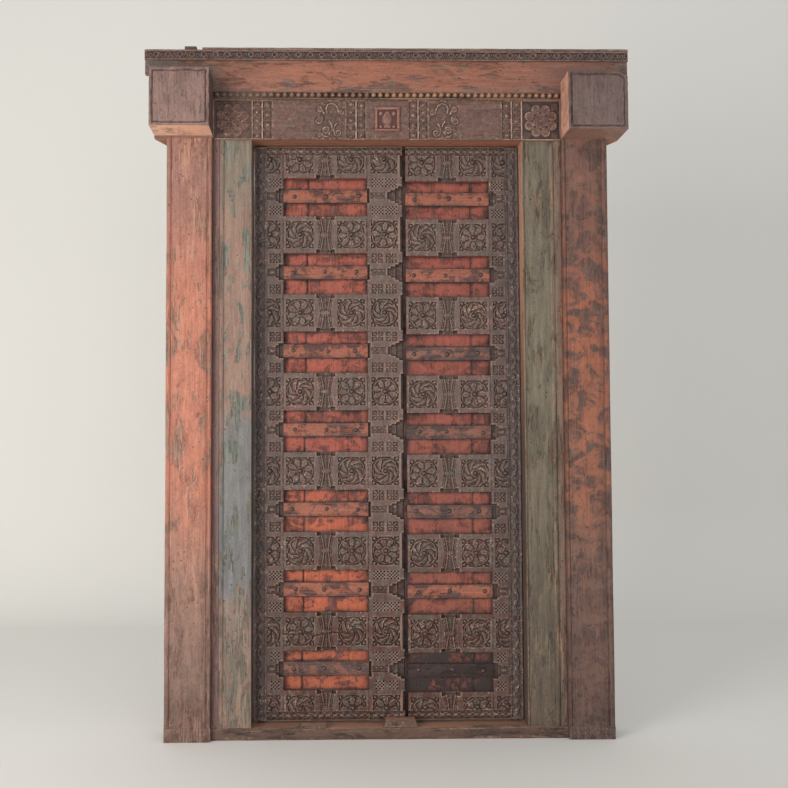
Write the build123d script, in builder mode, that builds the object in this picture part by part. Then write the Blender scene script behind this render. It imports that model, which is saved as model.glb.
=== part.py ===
from build123d import *
from math import cos, pi, sin
import os

os.makedirs("parts", exist_ok=True)

# Carved double-leaf door with its frame, without the wall. X runs to the right, Y runs back,
# Z runs up, and the origin is on the floor at the middle of the bounding box. All sizes in mm.

# Frame widths
jamb_width = 139
post_width = 159
block_width = 204          # corner block on the front of each end of the header
block_overhang = 43        # how far a corner block passes the outside of its post
lintel_overhang = 77       # how far the lintel passes the outside of each post

# Frame depths, each counted back from the front face of the posts
frame_depth = 130
block_projection = 100     # how far the corner blocks stand out in front of the posts
jamb_setback = 20
threshold_setback = 16
frieze_setback = 12
frieze_board_thickness = 16
leaf_setback = 70
lintel_end_depth = 18      # past the corner blocks the lintel is only a thin board

# Frame heights
threshold_height = 40
header_underside = 2090
frieze_height = 142
bead_row_height = 24
fascia_height = 110
cornice_height = 36
fillet_height = 8
lintel_end_height = 86
post_base_height = 48
block_height = 202
left_block_rise = 8        # the left corner block sits a little higher

# Edge mouldings of the posts and jambs
post_outer_bead = 20
post_inner_bead = 12
jamb_strip = 24
jamb_bead = 17
jamb_edge_bead = 9
groove_width = 5
groove_depth = 4
jamb_panel_sink = 4

# Post tenons that lock the lintel
tenon_width = 43
tenon_depth = 50
tenon_proud = 24           # the left tenon shows above the lintel
tenon_clearance = 0.3
tenon_setback = 20

# Header ends, cut back at an angle behind the corner blocks
header_end_square = 20
header_end_cut = 90

# Cornice strip and top fillet
cornice_projection = 8
cornice_scallop = 31       # pitch of the carved leaves
cornice_leaf_width = 25
cornice_leaf_side = 24
fillet_depth = 30
fillet_break = 202         # length of fillet that has broken away at the left end

# Row of beads
bead_pitch = 24
bead_radius = 9
bead_sides = 5
bead_projection = 8
bead_strip_thickness = 8

# Frieze board, whose panels mirror about a middle panel that carries the medallion
frieze_center_half = 74
frieze_sink = 5
column_width = 36          # two narrow ornament columns stand beside each panel
column_gap = 6
column_lozenges = 3
column_lozenge_radius = 12
scroll_panel_width = 110
scroll_radius = 25         # two scrolls curl on opposite sides of a leaning stem
scroll_ring_radius = 15
scroll_eye_radius = 7
scroll_along = 26
scroll_rise = 22
scroll_leaf_length = 30
scroll_leaf_width = 12
scroll_leaf_drop = 38
scroll_leaf_tilt = 35
scroll_stem_width = 12
scroll_stem_length = 112
scroll_stem_tilt = 24
end_panel_size = 137
end_rosette_radius = 61
end_rosette_sides = 12
end_flower_petals = 8
end_flower_radius = 52
end_flower_valley = 30
end_button_radius = 12
end_button_sides = 8

# Medallion: a square frame round a bud between two leaves
medallion_size = 87
medallion_frame = 9
medallion_thickness = 7
medallion_sink = 5
bud_radius = 20
bud_sides = 8
bud_leaf_offset = 24
bud_leaf_height = 12
bud_leaf_slope = 60
lower_leaf_width = 34
upper_leaf_width = 26

# Corner block face
block_groove_inset = 9
block_groove_width = 4
block_groove_depth = 4
block_worn_corner = 34     # worn outer top corner of the right block
block_worn_drop = 18

# Threshold stop in front of the meeting edges, and the raised chip left of it
stop_offset = 25.5         # how far the middle of the stop lies left of the meeting gap
stop_width = 124
stop_end_slope = 10
stop_height = 24
stop_clearance = 1
chip_from_jamb = 209       # from the left jamb to the middle of the chip
chip_width = 102
chip_end_slope = 17
chip_broken_slope = 3
chip_height = 14
chip_depth = 24

# Leaves, whose widths and gaps set the width of the doorway
hinge_gap = 4
meeting_gap = 13
meeting_plank_gap = 3      # the planks of the right leaf reach into the meeting gap
leaf_bottom_gap = 10
leaf_top_gap = 6
leaf_thickness = 54
board_thickness = 18       # carved rails and stiles, nailed on the planks
batten_thickness = 10
pivot_stile_width = 44
inner_stile_width = 60
rail_length = 300
meeting_stile_width = 125
meeting_stile_proud = 4
heel_radius = 22           # rounded heel, about the pivot axis
pivot_radius = 14
pivot_clearance = 0.5
pivot_drop = 22            # how deep the lower pivot sits in the threshold
pivot_rise = 24            # how deep the upper pivot sits in the header
pivot_end_clearance = 0.3

# Rails and fields
top_rail_height = 114
bottom_rail_height = 104.5
rail_height = 134
rail_count = 6             # full rails between the top and the bottom rail
end_field_height = 137
right_rail_drop = 10       # the rails of the right leaf sit a little lower
batten_height = 49
batten_rise = 5            # battens sit just above the middle of their field
plank_joint = 1.2
left_joint_bottom = 237    # joints between planks, from the meeting end of the rails
left_joint_top = 209       # this old joint leans
left_inner_joint = 71
right_joint = 237
right_inner_joint = 106

# Carving on the rails
square_width = 117         # each rail has two squares with a waisted panel between them
carve_margin = 6
disc_sides = 8
disc_radius = 51
flower_petals = 6
flower_radius = 43
flower_valley = 20
ring_depth = 5
waist_half = 11
waist_end_half = 27
rail_notch_width = 14
rail_notch_height = 12
strip_height = 33          # running strip on the top and bottom rail
strip_lozenge_radius = 10

# Carving on the stiles
stile_notch_width = 17
stile_notch_height = 52
stile_notch_step = 8
meeting_notch_width = 24
lattice_width = 42
lattice_height = 34
lattice_depth = 5
lattice_shift = 2          # the lozenges of the inner stile sit a little nearer its hinge side
lattice_margin = 9
vine_channel = 30
vine_depth = 4
vine_pitch = 76
lattice_spread = 25        # the paired lozenges of the meeting stile, from its middle
vine_lozenge_width = 25
vine_lozenge_height = 64

# Iron studs and batten nails
stud_radius = 10
stud_height = 8
stud_sides = 6
stud_inset = 1             # a hinge-side stud's edge, from the edge of its board
nail_radius = 8
nail_height = 4
nail_sides = 4
nail_spread = 114          # from the middle nail of a batten to each outer one

# Places worked out from the sizes above
leaf_boards_width = pivot_stile_width + inner_stile_width + rail_length
opening_half = hinge_gap + leaf_boards_width + (meeting_stile_width + meeting_gap) / 2
jamb_outer_x = opening_half + jamb_width
post_outer_x = jamb_outer_x + post_width
block_outer_x = post_outer_x + block_overhang
block_inner_x = block_outer_x - block_width
lintel_half = post_outer_x + lintel_overhang
post_front_y = (block_projection - frame_depth) / 2
frame_back_y = post_front_y + frame_depth
jamb_front_y = post_front_y + jamb_setback
threshold_front_y = post_front_y + threshold_setback
frieze_front_y = post_front_y + frieze_setback
leaf_front_y = post_front_y + leaf_setback
leaf_back_y = leaf_front_y + leaf_thickness
plank_front_y = leaf_front_y + board_thickness
batten_front_y = plank_front_y - batten_thickness
meeting_front_y = leaf_front_y - meeting_stile_proud
frieze_top = header_underside + frieze_height
bead_row_top = frieze_top + bead_row_height
fascia_top = bead_row_top + fascia_height
lintel_top = fascia_top + cornice_height
tenon_y = post_front_y + tenon_setback + tenon_depth / 2
tenon_x = jamb_outer_x + post_width / 2
leaf_bottom = threshold_height + leaf_bottom_gap
leaf_top = header_underside - leaf_top_gap
leaf_edge = opening_half - hinge_gap
pivot_x = leaf_edge - heel_radius
pivot_y = leaf_back_y - heel_radius
boards_start = leaf_edge - pivot_stile_width
rails_start = boards_start - inner_stile_width
rails_end = rails_start - rail_length
meeting_end = rails_end - meeting_stile_width
meeting_gap_x = -meeting_end + meeting_gap / 2
carved_height = leaf_top - leaf_bottom - top_rail_height - bottom_rail_height
rail_pitch = (carved_height - 2 * end_field_height - rail_height) / (rail_count - 1)
stop_center_x = meeting_gap_x - stop_offset
chip_center_x = chip_from_jamb - opening_half
fillet_left_end = fillet_break - lintel_half
nodes = []


def front(y):
    """Return the plane that faces the viewer at depth y, with X to the right and Z up."""
    return Plane.XZ.offset(-y)


def keep(part, label):
    """Label a finished piece and write its STEP file."""
    part.label = label
    export_step(part, f"parts/{label}.step")
    nodes.append(label)


def span(start, end):
    """Return the centre and the width of the stretch between two X or Z places."""
    return (start + end) / 2, abs(end - start)


# Outer posts, each on its base piece, with a tenon up through the lintel
for side, name in ((-1, "left"), (1, "right")):
    post_x = side * tenon_x
    tenon_top = lintel_top + (tenon_proud if side < 0 else 0)
    with BuildPart() as post:
        with BuildSketch(Plane.XY.offset(post_base_height)):
            with Locations((post_x, post_front_y + frame_depth / 2)):
                Rectangle(post_width, frame_depth)
            outer_groove = side * (post_outer_x - post_outer_bead)
            inner_groove = side * (jamb_outer_x + post_inner_bead)
            with Locations((outer_groove, post_front_y), (inner_groove, post_front_y)):
                Rectangle(groove_width, 2 * groove_depth, mode=Mode.SUBTRACT)
        extrude(amount=header_underside - post_base_height)
        with BuildSketch(Plane.XY.offset(header_underside)):
            with Locations((post_x, tenon_y)):
                Rectangle(tenon_width, tenon_depth)
        extrude(amount=tenon_top - header_underside)
    keep(post.part, f"outer_post_{name}")

    with BuildPart() as base:
        with BuildSketch():
            with Locations((post_x, post_front_y + frame_depth / 2)):
                Rectangle(post_width, frame_depth)
            if side < 0:
                with Locations((-post_outer_x, post_front_y)):
                    Rectangle(2 * post_outer_bead, 2 * groove_depth, mode=Mode.SUBTRACT)
        extrude(amount=post_base_height)
    keep(base.part, f"post_base_{name}")

# Inner jambs, which stand on the threshold
for side, name in ((-1, "left"), (1, "right")):
    panel_inner = opening_half + jamb_edge_bead
    panel_outer = jamb_outer_x - jamb_strip - jamb_bead
    panel_x, panel_width = span(panel_inner, panel_outer)
    strip_x, strip_width = span(jamb_outer_x - jamb_strip, jamb_outer_x)
    with BuildPart() as jamb:
        with BuildSketch(Plane.XY.offset(threshold_height)):
            with Locations((side * (opening_half + jamb_width / 2), (jamb_front_y + frame_back_y) / 2)):
                Rectangle(jamb_width, frame_back_y - jamb_front_y)
            with Locations((side * panel_x, jamb_front_y)):
                Rectangle(panel_width, 2 * jamb_panel_sink, mode=Mode.SUBTRACT)
            with Locations((side * strip_x, jamb_front_y)):
                Rectangle(strip_width, jamb_panel_sink, mode=Mode.SUBTRACT)
        extrude(amount=header_underside - threshold_height)
    keep(jamb.part, f"inner_jamb_{name}")

# Threshold with the two lower pivot sockets
with BuildPart() as threshold:
    with BuildSketch():
        with Locations((0, (threshold_front_y + frame_back_y) / 2)):
            Rectangle(2 * jamb_outer_x, frame_back_y - threshold_front_y)
    extrude(amount=threshold_height)
    with BuildSketch(Plane.XY.offset(threshold_height)):
        with Locations((-pivot_x, pivot_y), (pivot_x, pivot_y)):
            Circle(pivot_radius + pivot_clearance)
    extrude(amount=-(pivot_drop + pivot_end_clearance), mode=Mode.SUBTRACT)
keep(threshold.part, "threshold")

# Raised stop in front of the meeting edges, and the raised chip beside it
stop_back_y = meeting_front_y - stop_clearance
with BuildPart() as stop:
    with BuildSketch(front(threshold_front_y)):
        with BuildLine():
            Polyline(
                (stop_center_x - stop_width / 2, threshold_height),
                (stop_center_x + stop_width / 2, threshold_height),
                (stop_center_x + stop_width / 2 - stop_end_slope, threshold_height + stop_height),
                (stop_center_x - stop_width / 2 + stop_end_slope, threshold_height + stop_height),
                close=True,
            )
        make_face()
    extrude(amount=-(stop_back_y - threshold_front_y))
keep(stop.part, "threshold_stop")

with BuildPart() as chip:
    with BuildSketch(front(threshold_front_y)):
        with BuildLine():
            Polyline(
                (chip_center_x - chip_width / 2, threshold_height),
                (chip_center_x + chip_width / 2, threshold_height),
                (chip_center_x + chip_width / 2 - chip_broken_slope, threshold_height + chip_height),
                (chip_center_x - chip_width / 2 + chip_end_slope, threshold_height + chip_height),
                close=True,
            )
        make_face()
    extrude(amount=-chip_depth)
keep(chip.part, "threshold_chip")

# Header beam over the opening, with the posts' mortises and the upper pivot sockets
with BuildPart() as header:
    with BuildSketch(Plane.XY.offset(header_underside)):
        with BuildLine():
            Polyline(
                (-block_outer_x, post_front_y),
                (block_outer_x, post_front_y),
                (block_outer_x, post_front_y + header_end_square),
                (post_outer_x, post_front_y + header_end_square + header_end_cut),
                (post_outer_x, frame_back_y),
                (-post_outer_x, frame_back_y),
                (-post_outer_x, post_front_y + header_end_square + header_end_cut),
                (-block_outer_x, post_front_y + header_end_square),
                close=True,
            )
        make_face()
        with Locations((-tenon_x, tenon_y), (tenon_x, tenon_y)):
            mortise = tenon_width + 2 * tenon_clearance, tenon_depth + 2 * tenon_clearance
            Rectangle(*mortise, mode=Mode.SUBTRACT)
    extrude(amount=bead_row_top - header_underside)
    with BuildSketch(Plane.XY.offset(header_underside)):
        with Locations((0, post_front_y)):
            Rectangle(2 * block_inner_x, 2 * (frieze_setback + frieze_board_thickness))
    extrude(amount=frieze_height, mode=Mode.SUBTRACT)
    with BuildSketch(Plane.XY.offset(frieze_top)):
        with Locations((0, post_front_y)):
            Rectangle(2 * block_inner_x, 2 * frieze_setback)
    extrude(amount=bead_row_height, mode=Mode.SUBTRACT)
    with BuildSketch(Plane.XY.offset(header_underside)):
        with Locations((-pivot_x, pivot_y), (pivot_x, pivot_y)):
            Circle(pivot_radius + pivot_clearance)
    extrude(amount=pivot_rise + pivot_end_clearance, mode=Mode.SUBTRACT)
keep(header.part, "header_beam")

# Lintel above the header, whose ends run on as a thin board, with its cornice strip and fillet
with BuildPart() as lintel:
    with BuildSketch(front(post_front_y)):
        with Locations((0, (bead_row_top + lintel_top) / 2)):
            Rectangle(2 * block_outer_x, lintel_top - bead_row_top)
        with Locations((0, lintel_top - lintel_end_height / 2)):
            Rectangle(2 * lintel_half, lintel_end_height)
    extrude(amount=-lintel_end_depth)
    with BuildSketch(front(post_front_y + lintel_end_depth)):
        with Locations((0, (bead_row_top + lintel_top) / 2)):
            Rectangle(2 * block_outer_x, lintel_top - bead_row_top)
    extrude(amount=lintel_end_depth - frame_depth)
    with BuildSketch(Plane.XY.offset(bead_row_top)):
        with Locations((-tenon_x, tenon_y), (tenon_x, tenon_y)):
            Rectangle(tenon_width + 2 * tenon_clearance, tenon_depth + 2 * tenon_clearance)
    extrude(amount=lintel_top - bead_row_top, mode=Mode.SUBTRACT)
keep(lintel.part, "lintel")

scallop_count = int(2 * lintel_half / cornice_scallop) - 1
with BuildPart() as cornice:
    with BuildSketch(front(post_front_y)):
        with Locations((0, (fascia_top + lintel_top) / 2)):
            Rectangle(2 * lintel_half, cornice_height)
    extrude(amount=cornice_projection)
    with BuildSketch(front(post_front_y - cornice_projection)):
        with Locations((0, (fascia_top + lintel_top) / 2)):
            with GridLocations(cornice_scallop, 1, scallop_count, 1):
                Triangle(a=cornice_leaf_width, b=cornice_leaf_side, c=cornice_leaf_side)
    extrude(amount=-cornice_projection / 2, mode=Mode.SUBTRACT)
keep(cornice.part, "cornice_strip")

with BuildPart() as fillet_strip:
    with BuildSketch(Plane.XY.offset(lintel_top)):
        fillet_x, fillet_length = span(fillet_left_end, lintel_half)
        with Locations((fillet_x, post_front_y - cornice_projection + fillet_depth / 2)):
            Rectangle(fillet_length, fillet_depth)
    extrude(amount=fillet_height)
keep(fillet_strip.part, "top_fillet")

# Row of beads between the fascia and the frieze
bead_count = int(2 * block_inner_x / bead_pitch)
with BuildPart() as beads:
    strip_face = frieze_front_y - bead_strip_thickness
    with BuildSketch(front(frieze_front_y)):
        with Locations((0, (frieze_top + bead_row_top) / 2)):
            Rectangle(2 * block_inner_x, bead_row_height)
    extrude(amount=bead_strip_thickness)
    with BuildSketch(front(strip_face)):
        with Locations((0, (frieze_top + bead_row_top) / 2)):
            with GridLocations(bead_pitch, 1, bead_count, 1):
                RegularPolygon(bead_radius, bead_sides)
    extrude(amount=bead_projection)
keep(beads.part, "bead_row")


def flower(x, z, petals, reach, valley):
    """Sketch a pointed flower about (x, z), with its first petal upright."""
    points = []
    for step in range(2 * petals):
        radius = reach if step % 2 == 0 else valley
        turn = pi / 2 + step * pi / petals
        points.append((x + radius * cos(turn), z + radius * sin(turn)))
    with BuildSketch(mode=Mode.PRIVATE) as shape:
        with BuildLine():
            Polyline(*points, close=True)
        make_face()
    return shape.sketch


# Frieze board, carved in panels that mirror about the middle
frieze_mid_z = (header_underside + frieze_top) / 2
end_panel_start = block_inner_x - end_panel_size
plain_panel_end = end_panel_start - 2 * column_width
end_panel_x = (end_panel_start + block_inner_x) / 2
scroll_x = frieze_center_half + 2 * column_width + scroll_panel_width / 2
with BuildPart() as frieze:
    with BuildSketch(front(frieze_front_y)):
        with Locations((0, frieze_mid_z)):
            Rectangle(2 * block_inner_x, frieze_height)
    extrude(amount=-frieze_board_thickness)
    with BuildSketch(front(frieze_front_y)):
        for side in (-1, 1):
            with Locations((side * end_panel_x, frieze_mid_z)):
                RegularPolygon(end_rosette_radius, end_rosette_sides)
            petals = end_flower_petals, end_flower_radius, end_flower_valley
            add(flower(side * end_panel_x, frieze_mid_z, *petals), mode=Mode.SUBTRACT)
            with Locations((side * end_panel_x, frieze_mid_z)):
                RegularPolygon(end_button_radius, end_button_sides)
            with Locations((side * scroll_x, frieze_mid_z)):
                Rectangle(scroll_panel_width - 2 * carve_margin, frieze_height - 2 * carve_margin)
            for turn in (-1, 1):
                curl_x = side * (scroll_x - turn * scroll_along)
                with Locations((curl_x, frieze_mid_z + turn * scroll_rise)):
                    RegularPolygon(scroll_radius, 8, mode=Mode.SUBTRACT)
                    RegularPolygon(scroll_ring_radius, 6)
                    RegularPolygon(scroll_eye_radius, 4, mode=Mode.SUBTRACT)
                with Locations((curl_x, frieze_mid_z - turn * scroll_leaf_drop)):
                    leaf_size = scroll_leaf_length, scroll_leaf_width
                    leaf_turn = side * turn * scroll_leaf_tilt
                    Rectangle(*leaf_size, rotation=leaf_turn, mode=Mode.SUBTRACT)
            with Locations((side * scroll_x, frieze_mid_z)):
                stem_size = scroll_stem_width, scroll_stem_length
                Rectangle(*stem_size, rotation=side * scroll_stem_tilt, mode=Mode.SUBTRACT)
    extrude(amount=-frieze_sink, mode=Mode.SUBTRACT)
    with BuildSketch(front(frieze_front_y)):
        for side in (-1, 1):
            for start in (frieze_center_half, plain_panel_end):
                for number in (0, 1):
                    column_x = side * (start + (number + 0.5) * column_width)
                    with Locations((column_x, frieze_mid_z)):
                        Rectangle(column_width - column_gap, frieze_height - carve_margin)
                        with GridLocations(1, frieze_height / column_lozenges, 1, column_lozenges):
                            lozenge_shape = column_lozenge_radius, 4
                            RegularPolygon(*lozenge_shape, rotation=45, mode=Mode.SUBTRACT)
    extrude(amount=-frieze_sink, mode=Mode.SUBTRACT)
keep(frieze.part, "frieze_board")

with BuildPart() as medallion:
    with BuildSketch(front(frieze_front_y)):
        with Locations((0, frieze_mid_z)):
            Rectangle(medallion_size, medallion_size)
    extrude(amount=medallion_thickness)
    with BuildSketch(front(frieze_front_y - medallion_thickness)):
        with Locations((0, frieze_mid_z)):
            Rectangle(medallion_size - 2 * medallion_frame, medallion_size - 2 * medallion_frame)
            RegularPolygon(bud_radius, bud_sides, mode=Mode.SUBTRACT)
        with Locations((0, frieze_mid_z - bud_leaf_offset)):
            Trapezoid(lower_leaf_width, bud_leaf_height, bud_leaf_slope, mode=Mode.SUBTRACT)
        with Locations((0, frieze_mid_z + bud_leaf_offset)):
            upper_leaf = upper_leaf_width, bud_leaf_height, bud_leaf_slope
            Trapezoid(*upper_leaf, rotation=180, mode=Mode.SUBTRACT)
    extrude(amount=-medallion_sink, mode=Mode.SUBTRACT)
keep(medallion.part, "frieze_medallion")

# Corner blocks in front of the header's ends, with a groove round the face
for side, name in ((-1, "left"), (1, "right")):
    block_x = side * (block_inner_x + block_width / 2)
    block_z = header_underside + block_height / 2 + (left_block_rise if side < 0 else 0)
    face_y = post_front_y - block_projection
    with BuildPart() as block:
        with BuildSketch(front(post_front_y)):
            with Locations((block_x, block_z)):
                Rectangle(block_width, block_height)
            if side > 0:
                block_top = header_underside + block_height
                with BuildLine():
                    Polyline(
                        (block_outer_x, block_top - block_worn_drop),
                        (block_outer_x, block_top),
                        (block_outer_x - block_worn_corner, block_top),
                        close=True,
                    )
                make_face(mode=Mode.SUBTRACT)
        extrude(amount=block_projection)
        with BuildSketch(front(face_y)):
            with Locations((block_x, block_z)):
                inset = 2 * block_groove_inset
                Rectangle(block_width - inset, block_height - inset)
                inset = 2 * (block_groove_inset + block_groove_width)
                Rectangle(block_width - inset, block_height - inset, mode=Mode.SUBTRACT)
        extrude(amount=-block_groove_depth, mode=Mode.SUBTRACT)
    keep(block.part, f"corner_block_{name}")


def rosette(x, z, width, low, high):
    """Sketch the sunk parts of a square rosette about (x, z), kept between heights low and high."""
    mid_z, height = span(low, high)
    with BuildSketch(mode=Mode.PRIVATE) as sunk:
        with Locations((x, z)):
            RegularPolygon(disc_radius, disc_sides)
        add(flower(x, z, flower_petals, flower_radius, flower_valley), mode=Mode.SUBTRACT)
        with Locations((x, mid_z)):
            Rectangle(width, height, mode=Mode.INTERSECT)
    return sunk.sketch


def waist(x, low, high):
    """Sketch the two sunk sides of a waisted panel about x between heights low and high."""
    mid_z = (low + high) / 2
    with BuildSketch(mode=Mode.PRIVATE) as sunk:
        for side in (-1, 1):
            with BuildLine():
                top = (x + side * waist_end_half, high - 2 * carve_margin)
                bottom = (x + side * waist_end_half, low + 2 * carve_margin)
                bend = (x + side * (waist_half + waist_end_half) / 2, (mid_z + high) / 2)
                dip = (x + side * (waist_half + waist_end_half) / 2, (mid_z + low) / 2)
                Polyline(top, bend, (x + side * waist_half, mid_z), dip, bottom, close=True)
            make_face()
    return sunk.sketch


def lattice(x, z):
    """Sketch the sunk lozenge of a small square about (x, z)."""
    half_w, half_h = lattice_width / 2, lattice_height / 2
    with BuildSketch(mode=Mode.PRIVATE) as sunk:
        with BuildLine():
            Polyline((x - half_w, z), (x, z + half_h), (x + half_w, z), (x, z - half_h), close=True)
        make_face()
    return sunk.sketch


# Both leaves. Along a leaf, places run from its hinge edge towards the middle of the doorway.
for side, name in ((-1, "left"), (1, "right")):
    drop = right_rail_drop if side > 0 else 0
    rail_spans = [(leaf_top - top_rail_height - drop, leaf_top)]
    first_top = leaf_top - top_rail_height - end_field_height - drop
    for number in range(rail_count):
        rail_top = first_top - number * rail_pitch
        rail_spans.append((rail_top - rail_height, rail_top))
    rail_spans.append((leaf_bottom, rail_spans[-1][0] - end_field_height))
    field_spans = [(below[1], above[0]) for above, below in zip(rail_spans, rail_spans[1:])]
    rosette_heights = [(low + high) / 2 for low, high in rail_spans]
    rosette_heights[0] = rail_spans[0][0] + rail_height / 2
    rosette_heights[-1] = rail_spans[-1][1] - rail_height / 2
    carved_spans = list(rail_spans)
    carved_spans[0] = (rail_spans[0][0], leaf_top - strip_height)
    carved_spans[-1] = (leaf_bottom + strip_height, rail_spans[-1][1])
    batten_heights = [(low + high) / 2 + batten_rise for low, high in field_spans]
    leaf_mid_z, leaf_height = span(leaf_bottom, leaf_top)
    rail_x, _ = span(side * rails_start, side * rails_end)
    square_offset = (rail_length - square_width) / 2
    leaf_name = f"{name}_leaf"

    # Pivot stile: square in front, rounded about the pivot axis behind, with a pivot at each end
    axis_x = side * pivot_x
    with BuildPart() as pivot_stile:
        with BuildSketch(Plane.XY.offset(leaf_bottom)):
            with BuildLine():
                Line((side * boards_start, leaf_front_y), (side * leaf_edge, leaf_front_y))
                Line((side * leaf_edge, leaf_front_y), (side * leaf_edge, pivot_y))
                RadiusArc((side * leaf_edge, pivot_y), (axis_x, leaf_back_y), -side * heel_radius)
                Line((axis_x, leaf_back_y), (side * boards_start, leaf_back_y))
                Line((side * boards_start, leaf_back_y), (side * boards_start, leaf_front_y))
            make_face()
        extrude(amount=leaf_height)
        with BuildSketch(Plane.XY.offset(threshold_height - pivot_drop)):
            with Locations((axis_x, pivot_y)):
                Circle(pivot_radius)
        extrude(amount=pivot_drop + leaf_bottom_gap)
        with BuildSketch(Plane.XY.offset(leaf_top)):
            with Locations((axis_x, pivot_y)):
                Circle(pivot_radius)
        extrude(amount=leaf_top_gap + pivot_rise)
        vine_x = side * (boards_start + pivot_stile_width / 2)
        lozenge_count = int((leaf_height - vine_pitch) / vine_pitch)
        with BuildSketch(front(leaf_front_y)):
            with Locations((vine_x, leaf_mid_z)):
                Rectangle(vine_channel, leaf_height - vine_pitch)
            with BuildSketch(mode=Mode.PRIVATE) as lozenge:
                with BuildLine():
                    half_w, half_h = vine_lozenge_width / 2, vine_lozenge_height / 2
                    Polyline((-half_w, 0), (0, half_h), (half_w, 0), (0, -half_h), close=True)
                make_face()
            with Locations((vine_x, leaf_mid_z)):
                with GridLocations(1, vine_pitch, 1, lozenge_count):
                    add(lozenge.sketch, mode=Mode.SUBTRACT)
        extrude(amount=-vine_depth, mode=Mode.SUBTRACT)
    keep(pivot_stile.part, f"{leaf_name}_pivot_stile")

    # Inner stile: a carved board with a stepped notch beside each batten
    inner_x, _ = span(side * boards_start, side * rails_start)
    lattice_x = inner_x + side * lattice_shift
    with BuildPart() as inner_stile:
        with BuildSketch(front(leaf_front_y)):
            with Locations((inner_x, leaf_mid_z)):
                Rectangle(inner_stile_width, leaf_height)
            for height in batten_heights:
                with Locations((side * rails_start, height)):
                    Rectangle(2 * stile_notch_width, stile_notch_height, mode=Mode.SUBTRACT)
        extrude(amount=-board_thickness)
        with BuildSketch(front(leaf_front_y)):
            for number, height in enumerate(rosette_heights):
                low, high = carved_spans[number]
                with BuildSketch(mode=Mode.PRIVATE) as half:
                    add(rosette(side * boards_start, height, 2 * inner_stile_width, low, high))
                    with Locations((inner_x - side * carve_margin / 2, (low + high) / 2)):
                        half_width = inner_stile_width - carve_margin
                        Rectangle(half_width, high - low, mode=Mode.INTERSECT)
                add(half.sketch)
            for low, high in field_spans:
                for height in (low + lattice_margin + lattice_height / 2,
                               high - lattice_margin - lattice_height / 2):
                    add(lattice(lattice_x, height))
        extrude(amount=-lattice_depth, mode=Mode.SUBTRACT)
    keep(inner_stile.part, f"{leaf_name}_inner_stile")

    # Meeting stile, on the left leaf alone, notched on both sides beside each batten
    meeting_x, _ = span(side * rails_end, side * meeting_end)
    if side < 0:
        with BuildPart() as meeting:
            with BuildSketch(front(leaf_back_y)):
                with Locations((meeting_x, leaf_mid_z)):
                    Rectangle(meeting_stile_width, leaf_height)
            extrude(amount=leaf_back_y - meeting_front_y)
            with BuildSketch(front(meeting_front_y)):
                for height in batten_heights:
                    with Locations((side * meeting_end, height)):
                        Rectangle(meeting_notch_width, stile_notch_height + 2 * stile_notch_step)
                        Rectangle(2 * meeting_notch_width, stile_notch_height)
                    with Locations((side * rails_end, height)):
                        Rectangle(2 * stile_notch_step, stile_notch_height)
            extrude(amount=-(board_thickness + meeting_stile_proud), mode=Mode.SUBTRACT)
            with BuildSketch(front(meeting_front_y)):
                for number, height in enumerate(rosette_heights):
                    add(rosette(meeting_x, height, square_width, *carved_spans[number]))
                for low, high in field_spans:
                    for height in (low + lattice_margin + lattice_height / 2,
                                   high - lattice_margin - lattice_height / 2):
                        add(lattice(meeting_x - lattice_spread, height))
                        add(lattice(meeting_x + lattice_spread, height))
            extrude(amount=-lattice_depth, mode=Mode.SUBTRACT)
        keep(meeting.part, f"{leaf_name}_meeting_stile")

    # Planks behind the rails, joined edge to edge
    inner_end, outer_end = side * rails_end, side * boards_start
    plank_end = inner_end if side < 0 else meeting_plank_gap - meeting_end
    left_end, right_end = min(plank_end, outer_end), max(plank_end, outer_end)
    if side < 0:
        leaning = inner_end - left_joint_bottom, inner_end - left_joint_top
        upright = inner_end - left_inner_joint
        joints = [leaning, (upright, upright)]    # X at the bottom and at the top of each joint
    else:
        upright = inner_end + right_inner_joint
        outer_joint = inner_end + right_joint
        joints = [(upright, upright), (outer_joint, outer_joint)]
    edges = [(left_end, left_end), *joints, (right_end, right_end)]
    with BuildPart() as planks:
        for number in range(len(edges) - 1):
            gap_left = plank_joint / 2 if number > 0 else 0
            gap_right = plank_joint / 2 if number < len(edges) - 2 else 0
            with BuildSketch(front(leaf_back_y)):
                with BuildLine():
                    Polyline(
                        (edges[number][0] + gap_left, leaf_bottom),
                        (edges[number + 1][0] - gap_right, leaf_bottom),
                        (edges[number + 1][1] - gap_right, leaf_top),
                        (edges[number][1] + gap_left, leaf_top),
                        close=True,
                    )
                make_face()
            extrude(amount=leaf_back_y - plank_front_y)
    keep(planks.part, f"{leaf_name}_planks")

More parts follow.
